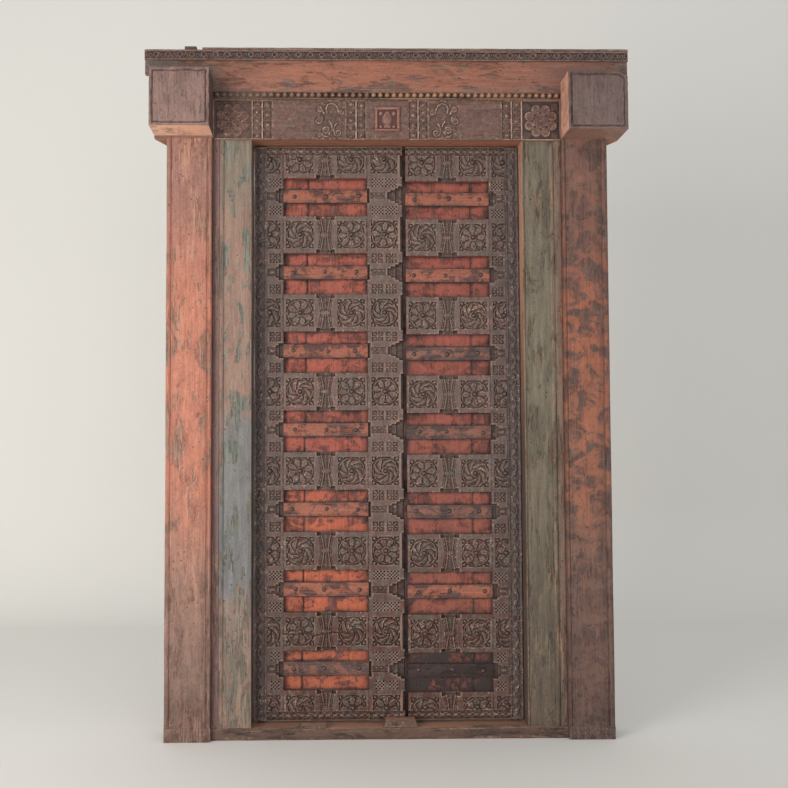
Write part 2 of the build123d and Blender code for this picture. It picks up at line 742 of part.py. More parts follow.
    # Rails: two square rosettes with a waisted panel between them
    for number, (low, high) in enumerate(rail_spans):
        carved_low, carved_high = carved_spans[number]
        rosette_z = rosette_heights[number]
        with BuildPart() as rail:
            with BuildSketch(front(leaf_front_y)):
                with Locations((rail_x, (low + high) / 2)):
                    Rectangle(rail_length, high - low)
                notch_x = rail_length / 2 - square_width - rail_notch_width / 2
                for across in (-notch_x, notch_x):
                    for edge in (low, high):
                        if leaf_bottom < edge < leaf_top:
                            with Locations((rail_x + across, edge)):
                                size = rail_notch_width, 2 * rail_notch_height
                                Rectangle(*size, mode=Mode.SUBTRACT)
            extrude(amount=-board_thickness)
            with BuildSketch(front(leaf_front_y)):
                for across in (-square_offset, square_offset):
                    add(rosette(rail_x + across, rosette_z, square_width, carved_low, carved_high))
                add(waist(rail_x, carved_low, carved_high))
                strip_count = int(rail_length / vine_pitch)
                for edge, strip_z in ((leaf_top, leaf_top - strip_height / 2),
                                      (leaf_bottom, leaf_bottom + strip_height / 2)):
                    if edge in (low, high):
                        with Locations((rail_x, strip_z)):
                            Rectangle(rail_length - 2 * carve_margin, strip_height - 2 * carve_margin)
                            with GridLocations(vine_pitch, 1, strip_count, 1):
                                RegularPolygon(strip_lozenge_radius, 4, mode=Mode.SUBTRACT)
            extrude(amount=-ring_depth, mode=Mode.SUBTRACT)
        keep(rail.part, f"{leaf_name}_rail_{number + 1}")

    # Battens across the middle of the fields
    for number, height in enumerate(batten_heights):
        with BuildPart() as batten:
            with BuildSketch(front(plank_front_y)):
                with Locations((rail_x, height)):
                    Rectangle(rail_length, batten_height)
            extrude(amount=batten_thickness)
        keep(batten.part, f"{leaf_name}_batten_{number + 1}")

    # Iron studs at the centres of the rosettes, and three nails on each batten
    hinge_stud_x = side * (boards_start - stud_radius - stud_inset)
    with BuildPart() as studs:
        for number, height in enumerate(rosette_heights):
            low, high = carved_spans[number]
            stud_z = min(max(height, low + stud_radius), high - stud_radius)
            with BuildSketch(front(leaf_front_y)):
                for x in (rail_x - square_offset, rail_x + square_offset, hinge_stud_x):
                    with Locations((x, stud_z)):
                        RegularPolygon(stud_radius, stud_sides)
            extrude(amount=stud_height)
            if side < 0:
                with BuildSketch(front(meeting_front_y)):
                    with Locations((meeting_x, stud_z)):
                        RegularPolygon(stud_radius, stud_sides)
                extrude(amount=stud_height)
    keep(studs.part, f"{leaf_name}_studs")

    with BuildPart() as nails:
        with BuildSketch(front(batten_front_y)):
            for height in batten_heights:
                for across in (-nail_spread, 0, nail_spread):
                    with Locations((rail_x + across, height)):
                        RegularPolygon(nail_radius, nail_sides)
        extrude(amount=nail_height)
    keep(nails.part, f"{leaf_name}_nails")

print(len(nodes), "nodes")
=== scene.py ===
"""Carved temple door: carved faces, worn timber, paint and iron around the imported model."""
import logging
import math
from dataclasses import dataclass
from enum import Enum
from typing import Any, Iterable, Sequence

import bmesh
import bpy
import numpy as np
from mathutils import Matrix, Vector


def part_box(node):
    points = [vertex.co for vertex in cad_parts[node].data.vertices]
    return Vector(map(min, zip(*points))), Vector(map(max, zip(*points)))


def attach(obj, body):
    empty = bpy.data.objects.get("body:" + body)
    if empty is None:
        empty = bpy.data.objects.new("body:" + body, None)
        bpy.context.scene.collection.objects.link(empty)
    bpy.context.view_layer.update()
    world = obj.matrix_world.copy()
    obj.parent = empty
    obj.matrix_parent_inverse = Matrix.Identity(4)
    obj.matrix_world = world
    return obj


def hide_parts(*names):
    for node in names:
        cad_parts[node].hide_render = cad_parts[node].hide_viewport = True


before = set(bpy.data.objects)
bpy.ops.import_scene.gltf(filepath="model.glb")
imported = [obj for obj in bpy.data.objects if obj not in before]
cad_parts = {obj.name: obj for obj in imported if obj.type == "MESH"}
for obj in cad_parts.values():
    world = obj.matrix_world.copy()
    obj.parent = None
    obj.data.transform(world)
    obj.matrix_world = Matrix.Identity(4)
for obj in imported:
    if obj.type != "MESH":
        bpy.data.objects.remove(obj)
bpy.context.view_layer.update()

LOG = logging.getLogger("temple_door")
MM = 0.001                  # every size below is in millimetres, and meshes are in metres
BAKE_MAP = "OFBake"
TURN = 2 * math.pi

Colour = tuple[float, float, float, float]
Array = np.ndarray


def tone(red: float, green: float, blue: float) -> Colour:
    """Turn a display colour of 0 to 255 into a linear one.

    Args:
        red: Red share.
        green: Green share.
        blue: Blue share.

    Returns:
        The linear colour with full alpha.
    """
    def linear(value: float) -> float:
        """Return one linear channel."""
        share = value / 255
        return share / 12.92 if share <= 0.04045 else ((share + 0.055) / 1.055) ** 2.4

    return linear(red), linear(green), linear(blue), 1.0


class Grain(Enum):
    """The way the fibres of a timber run."""

    ACROSS = 0
    UPRIGHT = 2


class Bloom(Enum):
    """The carved flower inside a square."""

    WHORL = "whorl"
    LOTUS = "lotus"
    DAISY = "daisy"


class Kind(Enum):
    """What a signal carries."""

    VALUE = "value"
    VECTOR = "vector"
    COLOUR = "colour"


class Signal:
    """One socket of a finish's node tree, with arithmetic that adds the nodes."""

    def __init__(self, graph: "Graph", socket: bpy.types.NodeSocket, kind: Kind) -> None:
        """Keep the socket and what it carries."""
        self.graph = graph
        self.socket = socket
        self.kind = kind

    def _combine(self, operation: str, first: Any, second: Any) -> "Signal":
        """Add the node that combines two terms.

        Args:
            operation: The operation's name in Blender.
            first: A signal or number.
            second: A signal or number.

        Returns:
            The combined signal.
        """
        kinds = {term.kind for term in (first, second) if isinstance(term, Signal)}
        if Kind.COLOUR in kinds:
            return self.graph.mix(1.0, first, second, operation)
        if Kind.VECTOR in kinds:
            terms = [(term,) * 3 if isinstance(term, (int, float)) else term
                     for term in (first, second)]
            settings = {"operation": operation}
            inputs = {0: terms[0], 1: terms[1]}
            return self.graph.node("ShaderNodeVectorMath", settings, inputs, gives=Kind.VECTOR)
        return self.graph.node("ShaderNodeMath", {"operation": operation}, {0: first, 1: second})

    def __add__(self, other: Any) -> "Signal":
        """Return self + other."""
        return self._combine("ADD", self, other)

    def __radd__(self, other: Any) -> "Signal":
        """Return other + self."""
        return self._combine("ADD", other, self)

    def __sub__(self, other: Any) -> "Signal":
        """Return self - other."""
        return self._combine("SUBTRACT", self, other)

    def __rsub__(self, other: Any) -> "Signal":
        """Return other - self."""
        return self._combine("SUBTRACT", other, self)

    def __mul__(self, other: Any) -> "Signal":
        """Return self * other."""
        return self._combine("MULTIPLY", self, other)

    def __rmul__(self, other: Any) -> "Signal":
        """Return other * self."""
        return self._combine("MULTIPLY", other, self)

    def step(self, low: float, high: float) -> "Signal":
        """Rise smoothly from 0 at low to 1 at high.

        Args:
            low: Where the rise starts.
            high: Where it ends.

        Returns:
            The share as a value signal.
        """
        settings = {"interpolation_type": "SMOOTHSTEP"}
        inputs = {"Value": self, "From Min": low, "From Max": high}
        return self.graph.node("ShaderNodeMapRange", settings, inputs)

    def clipped(self) -> "Signal":
        """Keep the value from 0 to 1."""
        return self.graph.node("ShaderNodeClamp", {}, {"Value": self})

    def part(self, axis: int) -> "Signal":
        """Return one component of a vector."""
        return self.graph.node("ShaderNodeSeparateXYZ", {}, {0: self}, out=axis)


class Graph:
    """The node tree of one material."""

    def __init__(self, name: str) -> None:
        """Start a material with a bare Principled shader."""
        self.material = bpy.data.materials.new(name)
        self.material.use_nodes = True
        self.tree = self.material.node_tree
        self.shader = self.tree.nodes["Principled BSDF"]

    def node(self, kind: str, settings: dict[str, Any], inputs: dict[Any, Any],
             out: int = 0, gives: Kind = Kind.VALUE) -> Signal:
        """Add any node.

        Args:
            kind: The node's type.
            settings: Its properties, or a ramp's stops, set before anything else.
            inputs: Values or signals for its sockets.
            out: Which output to return.
            gives: What that output carries.

        Returns:
            The output as a signal.
        """
        made = self.tree.nodes.new(kind)
        for name, value in settings.items():
            if name == "stops":
                self._set_stops(made.color_ramp, value)
            else:
                setattr(made, name, value)
        for key, value in inputs.items():
            if isinstance(value, Signal):
                self.tree.links.new(value.socket, made.inputs[key])
            else:
                made.inputs[key].default_value = value
        return Signal(self, made.outputs[out], gives)

    @staticmethod
    def _set_stops(ramp: bpy.types.ColorRamp, stops: Sequence[tuple[float, Colour]]) -> None:
        """Give a ramp its stops, in order."""
        while len(ramp.elements) < len(stops):
            ramp.elements.new(1.0)
        for element, (place, colour) in zip(ramp.elements, stops):
            element.position = place
            element.color = colour

    def mix(self, share: Any, first: Any, second: Any, blend: str = "MIX") -> Signal:
        """Blend two colours.

        Args:
            share: How much of the blend shows, a signal or number.
            first: The colour underneath.
            second: The colour on top.
            blend: The Mix node's way of blending.

        Returns:
            The colour signal.
        """
        first, second = (self._as_colour(term) for term in (first, second))
        settings = {"data_type": "RGBA", "blend_type": blend, "clamp_factor": True}
        return self.node("ShaderNodeMix", settings, {0: share, 6: first, 7: second},
                         out=2, gives=Kind.COLOUR)

    @staticmethod
    def _as_colour(term: Any) -> Any:
        """Turn a plain number into a grey, and leave the rest."""
        return (term, term, term, 1.0) if isinstance(term, (int, float)) else term

    def ramp(self, value: Signal, stops: Sequence[tuple[float, Colour]]) -> Signal:
        """Look a value up in a row of colour stops."""
        return self.node("ShaderNodeValToRGB", {"stops": stops}, {0: value}, gives=Kind.COLOUR)

    def place(self) -> Signal:
        """Return the place on the object at rest, in metres."""
        return self.node("ShaderNodeTexCoord", {}, {}, out=3, gives=Kind.VECTOR)

    def facing(self) -> Signal:
        """Return the way the surface faces, in the object's own axes."""
        return self.node("ShaderNodeTexCoord", {}, {}, out=1, gives=Kind.VECTOR)

    def attribute(self, name: str) -> Signal:
        """Read a value that the mesh carries."""
        return self.node("ShaderNodeAttribute", {"attribute_name": name}, {}, out=2)

    def noise(self, place: Signal, scale: float, detail: float = 4.0, rough: float = 0.6,
              warp: float = 0.0) -> Signal:
        """Add a noise of about 0.5.

        Args:
            place: Where it is read.
            scale: How many lumps there are in a metre.
            detail: Octaves.
            rough: Strength of the fine octaves.
            warp: How far it is distorted.

        Returns:
            The value signal.
        """
        inputs = {"Vector": place, "Scale": scale, "Detail": detail, "Roughness": rough,
                  "Distortion": warp}
        return self.node("ShaderNodeTexNoise", {}, inputs)

    def flecks(self, place: Signal, scale: float) -> Signal:
        """Return the distance to the nearest of many scattered points."""
        return self.node("ShaderNodeTexVoronoi", {}, {"Vector": place, "Scale": scale})

    def finish(self, colour: Signal, roughness: Signal, height: Signal, relief: float,
               depth: float) -> bpy.types.Material:
        """Wire the shader.

        Args:
            colour: Base colour.
            roughness: Roughness.
            height: Surface height of about 0 to 1.
            relief: Strength of the bump.
            depth: Depth in metres that a height of 1 stands for.

        Returns:
            The finished material.
        """
        inputs = {"Strength": relief, "Distance": depth, "Height": height}
        normal = self.node("ShaderNodeBump", {}, inputs, gives=Kind.VECTOR)
        for name, signal in (("Base Color", colour), ("Roughness", roughness), ("Normal", normal)):
            self.tree.links.new(signal.socket, self.shader.inputs[name])
        return self.material


@dataclass(frozen=True)
class PaintedTimber:
    """Old timber with worn coats of paint, whose colour drifts along the grain, with painted shade
    in sunk places and painted light and shade on faces that look into the doorway, down or up.

    Coats are pairs of a place in millimetres along the grain and a colour of red, green and
    blue from 0 to 255.
    """

    name: str
    grain: Grain
    coats: tuple[tuple[float, tuple[int, int, int]], ...]
    bare: Colour
    patch: Colour
    bare_from: float = 0.56             # chips show where their noise passes this
    patch_from: float = 0.54
    feather: float = 0.015              # how softly chips and patches end
    stretch: float = 2.6                # how far patches are drawn out along the grain
    grain_lines: float = 0.6
    blotch: float = 0.5
    # shade is the dark of bare, cracked and pitted wood, and also the colour of the painted shade
    # in sunk places
    shade: Colour = tone(52, 40, 36)
    reveal: Colour | None = None        # painted light and shade on faces that look to the middle of the doorway
    reveal_side: int = 1                # +1 where those faces look along +X
    reveal_low: Colour = tone(84, 64, 54)       # the same faces near the floor
    under: Colour | None = None         # painted light and shade on faces that look down, over their own paint
    strip: tuple[float, Colour] | None = None   # a plain strip, from this far off the middle
    over: Colour | None = None          # painted light on faces that look up
    patch_low: Colour | None = None     # the second coat near the floor
    raw: Colour = tone(116, 88, 70)     # unpainted back
    gloss: float = 0.6

    def _fibre_place(self, place: Signal, stretch: float) -> Signal:
        """Return the place drawn out along the grain by a factor."""
        scale = [1.0, 1.0, 1.0]
        scale[self.grain.value] = 1 / stretch
        inputs = {0: scale[0], 1: scale[1], 2: scale[2]}
        return place * place.graph.node("ShaderNodeCombineXYZ", {}, inputs, gives=Kind.VECTOR)

    def _coat(self, graph: Graph, place: Signal, drift: Signal) -> Signal:
        """Return the colour of the coat, which drifts along the grain."""
        low, high = self.coats[0][0], self.coats[-1][0]
        along = place.part(self.grain.value) + (drift - 0.5) * 0.6
        share = (along - low * MM) * (1 / ((high - low) * MM))
        stops = [((at - low) / (high - low), tone(*colour)) for at, colour in self.coats]
        return graph.ramp(share, stops)

    def material(self) -> bpy.types.Material:
        """Build the material."""
        graph = Graph(self.name)
        place = graph.place()
        edge = graph.attribute("edge")
        drift = graph.noise(place, 3.1, 3.0)
        cloud = graph.noise(self._fibre_place(place, self.stretch), 14.0, 6.0, 0.66, 0.7)
        chip = graph.noise(self._fibre_place(place, self.stretch), 42.0, 6.0, 0.72, 0.5)
        streak = graph.noise(self._fibre_place(place, 14.0), 74.0, 5.0, 0.66, 0.25)
        fibre = graph.noise(self._fibre_place(place, 24.0), 240.0, 4.0, 0.7)
        crumb = graph.noise(place, 190.0, 5.0, 0.78)

        coat = self._coat(graph, place, drift * 0.7 + chip * 0.3)
        second = cloud * 0.62 + chip * 0.28 + streak * 0.1
        patch: Any = self.patch
        if self.patch_low is not None:
            patch = graph.mix((place.part(2) + (chip - 0.5) * 0.4).step(0.42, 0.6),
                              self.patch_low, self.patch)
        patched = second.step(self.patch_from - self.feather, self.patch_from + self.feather)
        coat = graph.mix(patched, coat, patch)
        if self.strip is not None:
            across = graph.node("ShaderNodeMath", {"operation": "ABSOLUTE"}, {0: place.part(0)})
            start = self.strip[0] * MM
            coat = graph.mix(across.step(start - 0.002, start + 0.002), coat, self.strip[1])
        worn = chip * 0.42 + cloud * 0.28 + streak * 0.1 + crumb * 0.2 + edge * 0.1
        lost = worn.step(self.bare_from - self.feather, self.bare_from + self.feather)
        wood = graph.mix(streak.step(0.28, 0.5), self.shade, self.bare)
        colour = graph.mix(lost * 0.85, coat, wood)
        depth = (streak - 0.5) * (1.5 * self.grain_lines + 0.3) + (fibre - 0.5) * 1.1
        depth = depth + (crumb - 0.5) * 1.3 + (chip - 0.5) * self.blotch * 1.6
        colour = colour * (depth + 1.0)
        line = 1 - graph.node("ShaderNodeMath", {"operation": "ABSOLUTE"},
                              {0: (streak * 0.6 + fibre * 0.4 - 0.5) * 52.0})
        crack = line.step(0.1, 0.7) * cloud.step(0.5, 0.56)
        colour = graph.mix(crack * self.grain_lines, colour, self.shade)
        pit = (1 - graph.flecks(place, 47.0)).step(0.82, 0.9) * chip.step(0.5, 0.56)
        colour = graph.mix(pit * 0.6, colour, self.shade)
        bright = (crumb * 0.7 + fibre * 0.3 + edge * 0.1).step(0.62, 0.68)
        colour = graph.mix(bright * 0.35, colour, tone(206, 172, 146))

        facing = graph.facing()
        sink = graph.attribute("sink")
        # Painted shade: sunk places, and places the board marks as shaded, darken towards the shade
        # colour
        painted_shade = (sink * (cloud * 1.3 + 0.35)).step(0.12, 0.9)
        colour = graph.mix(painted_shade * 0.9, colour, self.shade)
        whole = (1 - sink.step(0.02, 0.12) + graph.attribute("rim")).clipped()
        soft_wear = (cloud * 0.5 + chip * 0.5).step(0.5, 0.6)
        # Painted light and shade: faces that look into the doorway, down or up take a set lit or
        # shaded colour, with some bare wood showing
        if self.reveal is not None:
            inner = (facing.part(0) * self.reveal_side).step(0.72, 0.9) * whole
            shown = graph.mix(soft_wear * 0.55, self.reveal, self.bare)
            shown = graph.mix(place.part(2).step(0.9, 1.8), self.reveal_low, shown)
            colour = graph.mix(inner, colour, shown * (depth * 0.6 + 1.0))
        if self.under is not None:
            below = (facing.part(2) * -1.0).step(0.72, 0.9) * whole
            shown = graph.mix(soft_wear * 0.5, self.under, self.bare) * (depth * 0.6 + 1.0)
            colour = graph.mix(below, colour, shown)
        if self.over is not None:
            above = facing.part(2).step(0.72, 0.9) * whole
            colour = graph.mix(above, colour, graph.mix(lost, self.over, self.bare))
        behind = facing.part(1).step(0.6, 0.8)
        old = graph.mix(streak.step(0.42, 0.7) * 0.45 + crack * 0.4, self.raw, self.shade)
        old = old * ((cloud - 0.5) * 0.9 + (fibre - 0.5) * 0.9 + 1.0)
        colour = graph.mix(behind, colour, old)

        roughness = (fibre * 0.2 + lost * 0.2 + (self.gloss - 0.1)).clipped()
        height = fibre * 0.4 + streak * 0.4 + crumb * 0.3 - lost * 0.3 - crack * 0.9 - pit * 0.8
        return graph.finish(colour, roughness, height, 0.7, 0.003)


@dataclass(frozen=True)
class CarvedTimber:
    """Dark carved teak: deep places are dirty and get painted shade, crests are rubbed pale and get
    a painted highlight, and it reddens low down.
    """

    name: str
    high_tone: Colour = tone(98, 77, 70)
    low_tone: Colour = tone(76, 46, 36)
    # hollow is the colour of deep places, dirty and in painted shade, and of dark streaks on the
    # back
    hollow: Colour = tone(48, 35, 33)
    # crest_tone is the colour of rubbed crests and of the painted highlight on them
    crest_tone: Colour = tone(140, 116, 104)
    slate: Colour = tone(84, 77, 69)
    red: Colour = tone(108, 70, 60)
    fleck_tone: Colour = tone(222, 198, 172)
    rim_tone: Colour = tone(150, 68, 45)      # painted edges of the carved boards
    raw: Colour = tone(112, 86, 70)           # unpainted back
    turn_from: float = 260.0                  # height where the low tone starts to fade
    turn_to: float = 1050.0
    darkest: float = 0.5                      # how dark the painted shade on the dirty deepest ground is
    flecks: float = 0.75
    rub_and_highlight: float = 0.55                         # how pale the crests are rubbed and painted with a highlight
    grain: Grain = Grain.UPRIGHT

    def material(self) -> bpy.types.Material:
        """Build the material."""
        graph = Graph(self.name)
        place = graph.place()
        sink = graph.attribute("sink")
        crest = graph.attribute("crest")
        rim = graph.attribute("rim")
        cloud = graph.noise(place, 8.0, 5.0, 0.62, 0.4)
        lump = graph.noise(place, 64.0, 5.0, 0.7, 0.3)
        other = graph.noise(place, 51.0, 5.0, 0.7, 0.3)
        crumb = graph.noise(place, 230.0, 4.0, 0.75)
        scale = [1.0, 1.0, 1.0]
        scale[self.grain.value] = 0.06
        inputs = {0: scale[0], 1: scale[1], 2: scale[2]}
        stretch = graph.node("ShaderNodeCombineXYZ", {}, inputs, gives=Kind.VECTOR)
        fibre = graph.noise(place * stretch, 240.0, 4.0, 0.6)
        band = graph.noise(place * stretch, 84.0, 4.0, 0.66)

        up = (place.part(2) + (cloud - 0.5) * 0.4).step(self.turn_from * MM, self.turn_to * MM)
        colour = graph.mix(up, self.low_tone, self.high_tone)
        wide = graph.noise(place, 21.0, 3.0, 0.55)
        colour = graph.mix((wide * 0.6 + lump * 0.4).step(0.46, 0.58) * 0.65, colour, self.slate)
        colour = graph.mix((other * 0.6 + cloud * 0.4).step(0.5, 0.62) * 0.6, colour, self.red)
        carved = sink.step(0.02, 0.2)
        busy = (crumb - 0.5) * (carved * 2.2 + 1.4) + (lump - 0.5) * (carved * 1.4 + 1.0)
        colour = colour * ((fibre - 0.5) * 0.9 + (band - 0.5) * 1.1 + busy + 1.0)
        # Painted shade on dirty ground: the deeper a place is sunk, the nearer it comes to the
        # hollow colour
        shade_and_dirt = (sink * 1.1 + (other - 0.5) * 0.9).step(0.25, 1.05)
        colour = graph.mix(shade_and_dirt * self.darkest, colour, self.hollow)
        # Rubbed wear and a painted highlight: crests and board edges turn pale
        rubbed = (crest + crumb * 0.9 + lump * 0.5).step(0.95, 1.6)
        colour = graph.mix(rubbed * self.rub_and_highlight, colour, self.crest_tone)
        chipped = (crumb * 0.7 + lump * 0.3).step(0.57, 0.62) * cloud.step(0.44, 0.54)
        chipped = chipped * (crest.step(-0.2, 0.3) * 0.5 + carved * 0.5)
        colour = graph.mix(chipped * self.flecks, colour, self.fleck_tone)
        downward = (graph.facing().part(2) * -1.0).step(0.5, 0.8)
        colour = graph.mix(rim * (downward * 0.75 + 0.15), colour, self.rim_tone)
        behind = graph.facing().part(1).step(0.6, 0.8)
        bare = graph.mix(band.step(0.42, 0.7) * 0.45, self.raw, self.hollow)
        bare = bare * ((cloud - 0.5) * 0.9 + (fibre - 0.5) * 0.9 + 1.0)
        colour = graph.mix(behind, colour, bare)
        roughness = (crumb * 0.3 + 0.48 + sink * 0.15).clipped()
        height = fibre * 0.35 + crumb * 0.5 + lump * 0.4
        return graph.finish(colour, roughness, height, 0.6, 0.0026)


@dataclass(frozen=True)
class HandForgedIron:
    """Dark iron with brown rust and a painted highlight on the crowns."""

    name: str

    def material(self) -> bpy.types.Material:
        """Build the material."""
        graph = Graph(self.name)
        place = graph.place()
        rust = graph.noise(place, 120.0, 5.0, 0.65)
        pit = graph.noise(place, 620.0, 3.0, 0.6)
        crown = graph.attribute("crest")
        colour = graph.mix(rust.step(0.46, 0.62), tone(48, 38, 38), tone(88, 60, 50))
        # Painted highlight: the crowns of the heads are lightened
        colour = graph.mix((crown + pit * 0.5).step(0.9, 1.4) * 0.55, colour, tone(128, 108, 98))
        self._set_metal(graph)
        roughness = (pit * 0.35 + 0.34).clipped()
        return graph.finish(colour, roughness, pit * 0.6 + rust * 0.4, 0.5, 0.0012)

    @staticmethod
    def _set_metal(graph: Graph) -> None:
        """Set the even metal share on the shader itself."""
        graph.shader.inputs["Metallic"].default_value = 0.35


@dataclass(frozen=True)
class PlainStudio:
    """The pale floor and backdrop."""

    name: str
    colour: Colour

    def material(self) -> bpy.types.Material:
        """Build the material."""
        graph = Graph(self.name)
        soft = graph.noise(graph.place(), 1.3, 2.0)
        colour = graph.mix(soft * 0.06, self.colour, tone(214, 212, 206))
        return graph.finish(colour, soft * 0.05 + 0.86, soft, 0.02, 0.001)


@dataclass(frozen=True)
class Box:
    """A box in millimetres."""

    x0: float
    x1: float
    y0: float
    y1: float
    z0: float
    z1: float

    @property
    def x(self) -> float:
        """Middle across."""
        return (self.x0 + self.x1) / 2

    @property
    def z(self) -> float:
        """Middle height."""
        return (self.z0 + self.z1) / 2

    @property
    def width(self) -> float:
        """Size across."""
        return self.x1 - self.x0

    @property
    def height(self) -> float:
        """Size upright."""
        return self.z1 - self.z0

    @staticmethod
    def of(node: str) -> "Box":
        """Return a CAD node's box."""
        low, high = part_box(node)
        low, high = low / MM, high / MM
        return Box(low.x, high.x, low.y, high.y, low.z, high.z)


class Unevenness:
    """Smooth seeded unevenness: a sum of waves over two directions, of about -1 to 1."""

    def __init__(self, seed: int, wavelength: float, waves: int = 16) -> None:
        """Draw the waves.

        Args:
            seed: Seed of the draw.
            wavelength: Typical length of a wave in millimetres.
            waves: How many waves are summed.
        """
        draw = np.random.default_rng(seed)
        angle = draw.uniform(0, TURN, waves)
        pace = TURN / (wavelength * draw.uniform(0.6, 1.9, waves))
        self.across = pace * np.cos(angle)
        self.along = pace * np.sin(angle)
        self.phase = draw.uniform(0, TURN, waves)

    def at(self, across: Array, along: Array) -> Array:
        """Return the unevenness at places in millimetres."""
        total = np.zeros(np.broadcast(across, along).shape)
        for a, b, phase in zip(self.across, self.along, self.phase):
            total = total + np.sin(a * across + b * along + phase)
        return total / math.sqrt(2 * len(self.phase))


def soft(distance: Array, edge: float = 1.3) -> Array:
    """Return 1 inside and 0 outside a shape, with a smooth edge.

    Args:
        distance: Distance inside the shape in millimetres, negative outside.
        edge: Half the width of the smooth edge.

    Returns:
        The share from 0 to 1.
    """
    share = np.clip((distance / edge + 1) / 2, 0, 1)
    return share * share * (3 - 2 * share)


def smeared(field: Array, reach: int) -> Array:
    """Average a grid over a square of cells, twice."""
    for _ in range(2):
        for axis in (0, 1):
            width = [(0, 0), (0, 0)]
            width[axis] = (reach + 1, reach)
            total = np.cumsum(np.pad(field, width, mode="edge"), axis=axis)
            size = field.shape[axis]
            far = np.take(total, range(2 * reach + 1, 2 * reach + 1 + size), axis=axis)
            near = np.take(total, range(0, size), axis=axis)
            field = (far - near) / (2 * reach + 1)
    return field


def new_object(name: str, mesh: bpy.types.Mesh, material: bpy.types.Material,
               crease: float = 42.0) -> bpy.types.Object:
    """Put a mesh in the scene with smooth faces and sharp creases.

    Args:
        name: The piece's name.
        mesh: Its mesh, in the frame of the CAD model.
        material: Its finish.
        crease: Angle in degrees from which an edge is sharp.

    Returns:
        The object.
    """
    mesh.shade_smooth()
    mesh.set_sharp_from_angle(angle=math.radians(crease))
    mesh.materials.append(material)
    made = bpy.data.objects.new(name, mesh)
    bpy.context.scene.collection.objects.link(made)
    return made


def mesh_of(name: str, points: Array, loops: Array, starts: Array) -> bpy.types.Mesh:
    """Make a mesh from flat arrays.

    Args:
        name: The mesh's name.
        points: Vertex places in millimetres, one row each.
        loops: Vertex numbers of all faces, one after another.
        starts: Where each face starts in loops.

    Returns:
        The mesh, in metres.
    """
    mesh = bpy.data.meshes.new(name)
    mesh.vertices.add(len(points))
    mesh.vertices.foreach_set("co", (points * MM).astype(np.float32).ravel())
    mesh.loops.add(len(loops))
    mesh.loops.foreach_set("vertex_index", loops.astype(np.int32))
    mesh.polygons.add(len(starts))
    mesh.polygons.foreach_set("loop_start", starts.astype(np.int32))
    mesh.update(calc_edges=True)
    return mesh


def carry(mesh: bpy.types.Mesh, name: str, domain: str, values: Array) -> None:
    """Store a value on each point or face of a mesh."""
    mesh.attributes.new(name, "FLOAT", domain)
    mesh.attributes[name].data.foreach_set("value", values.astype(np.float32))


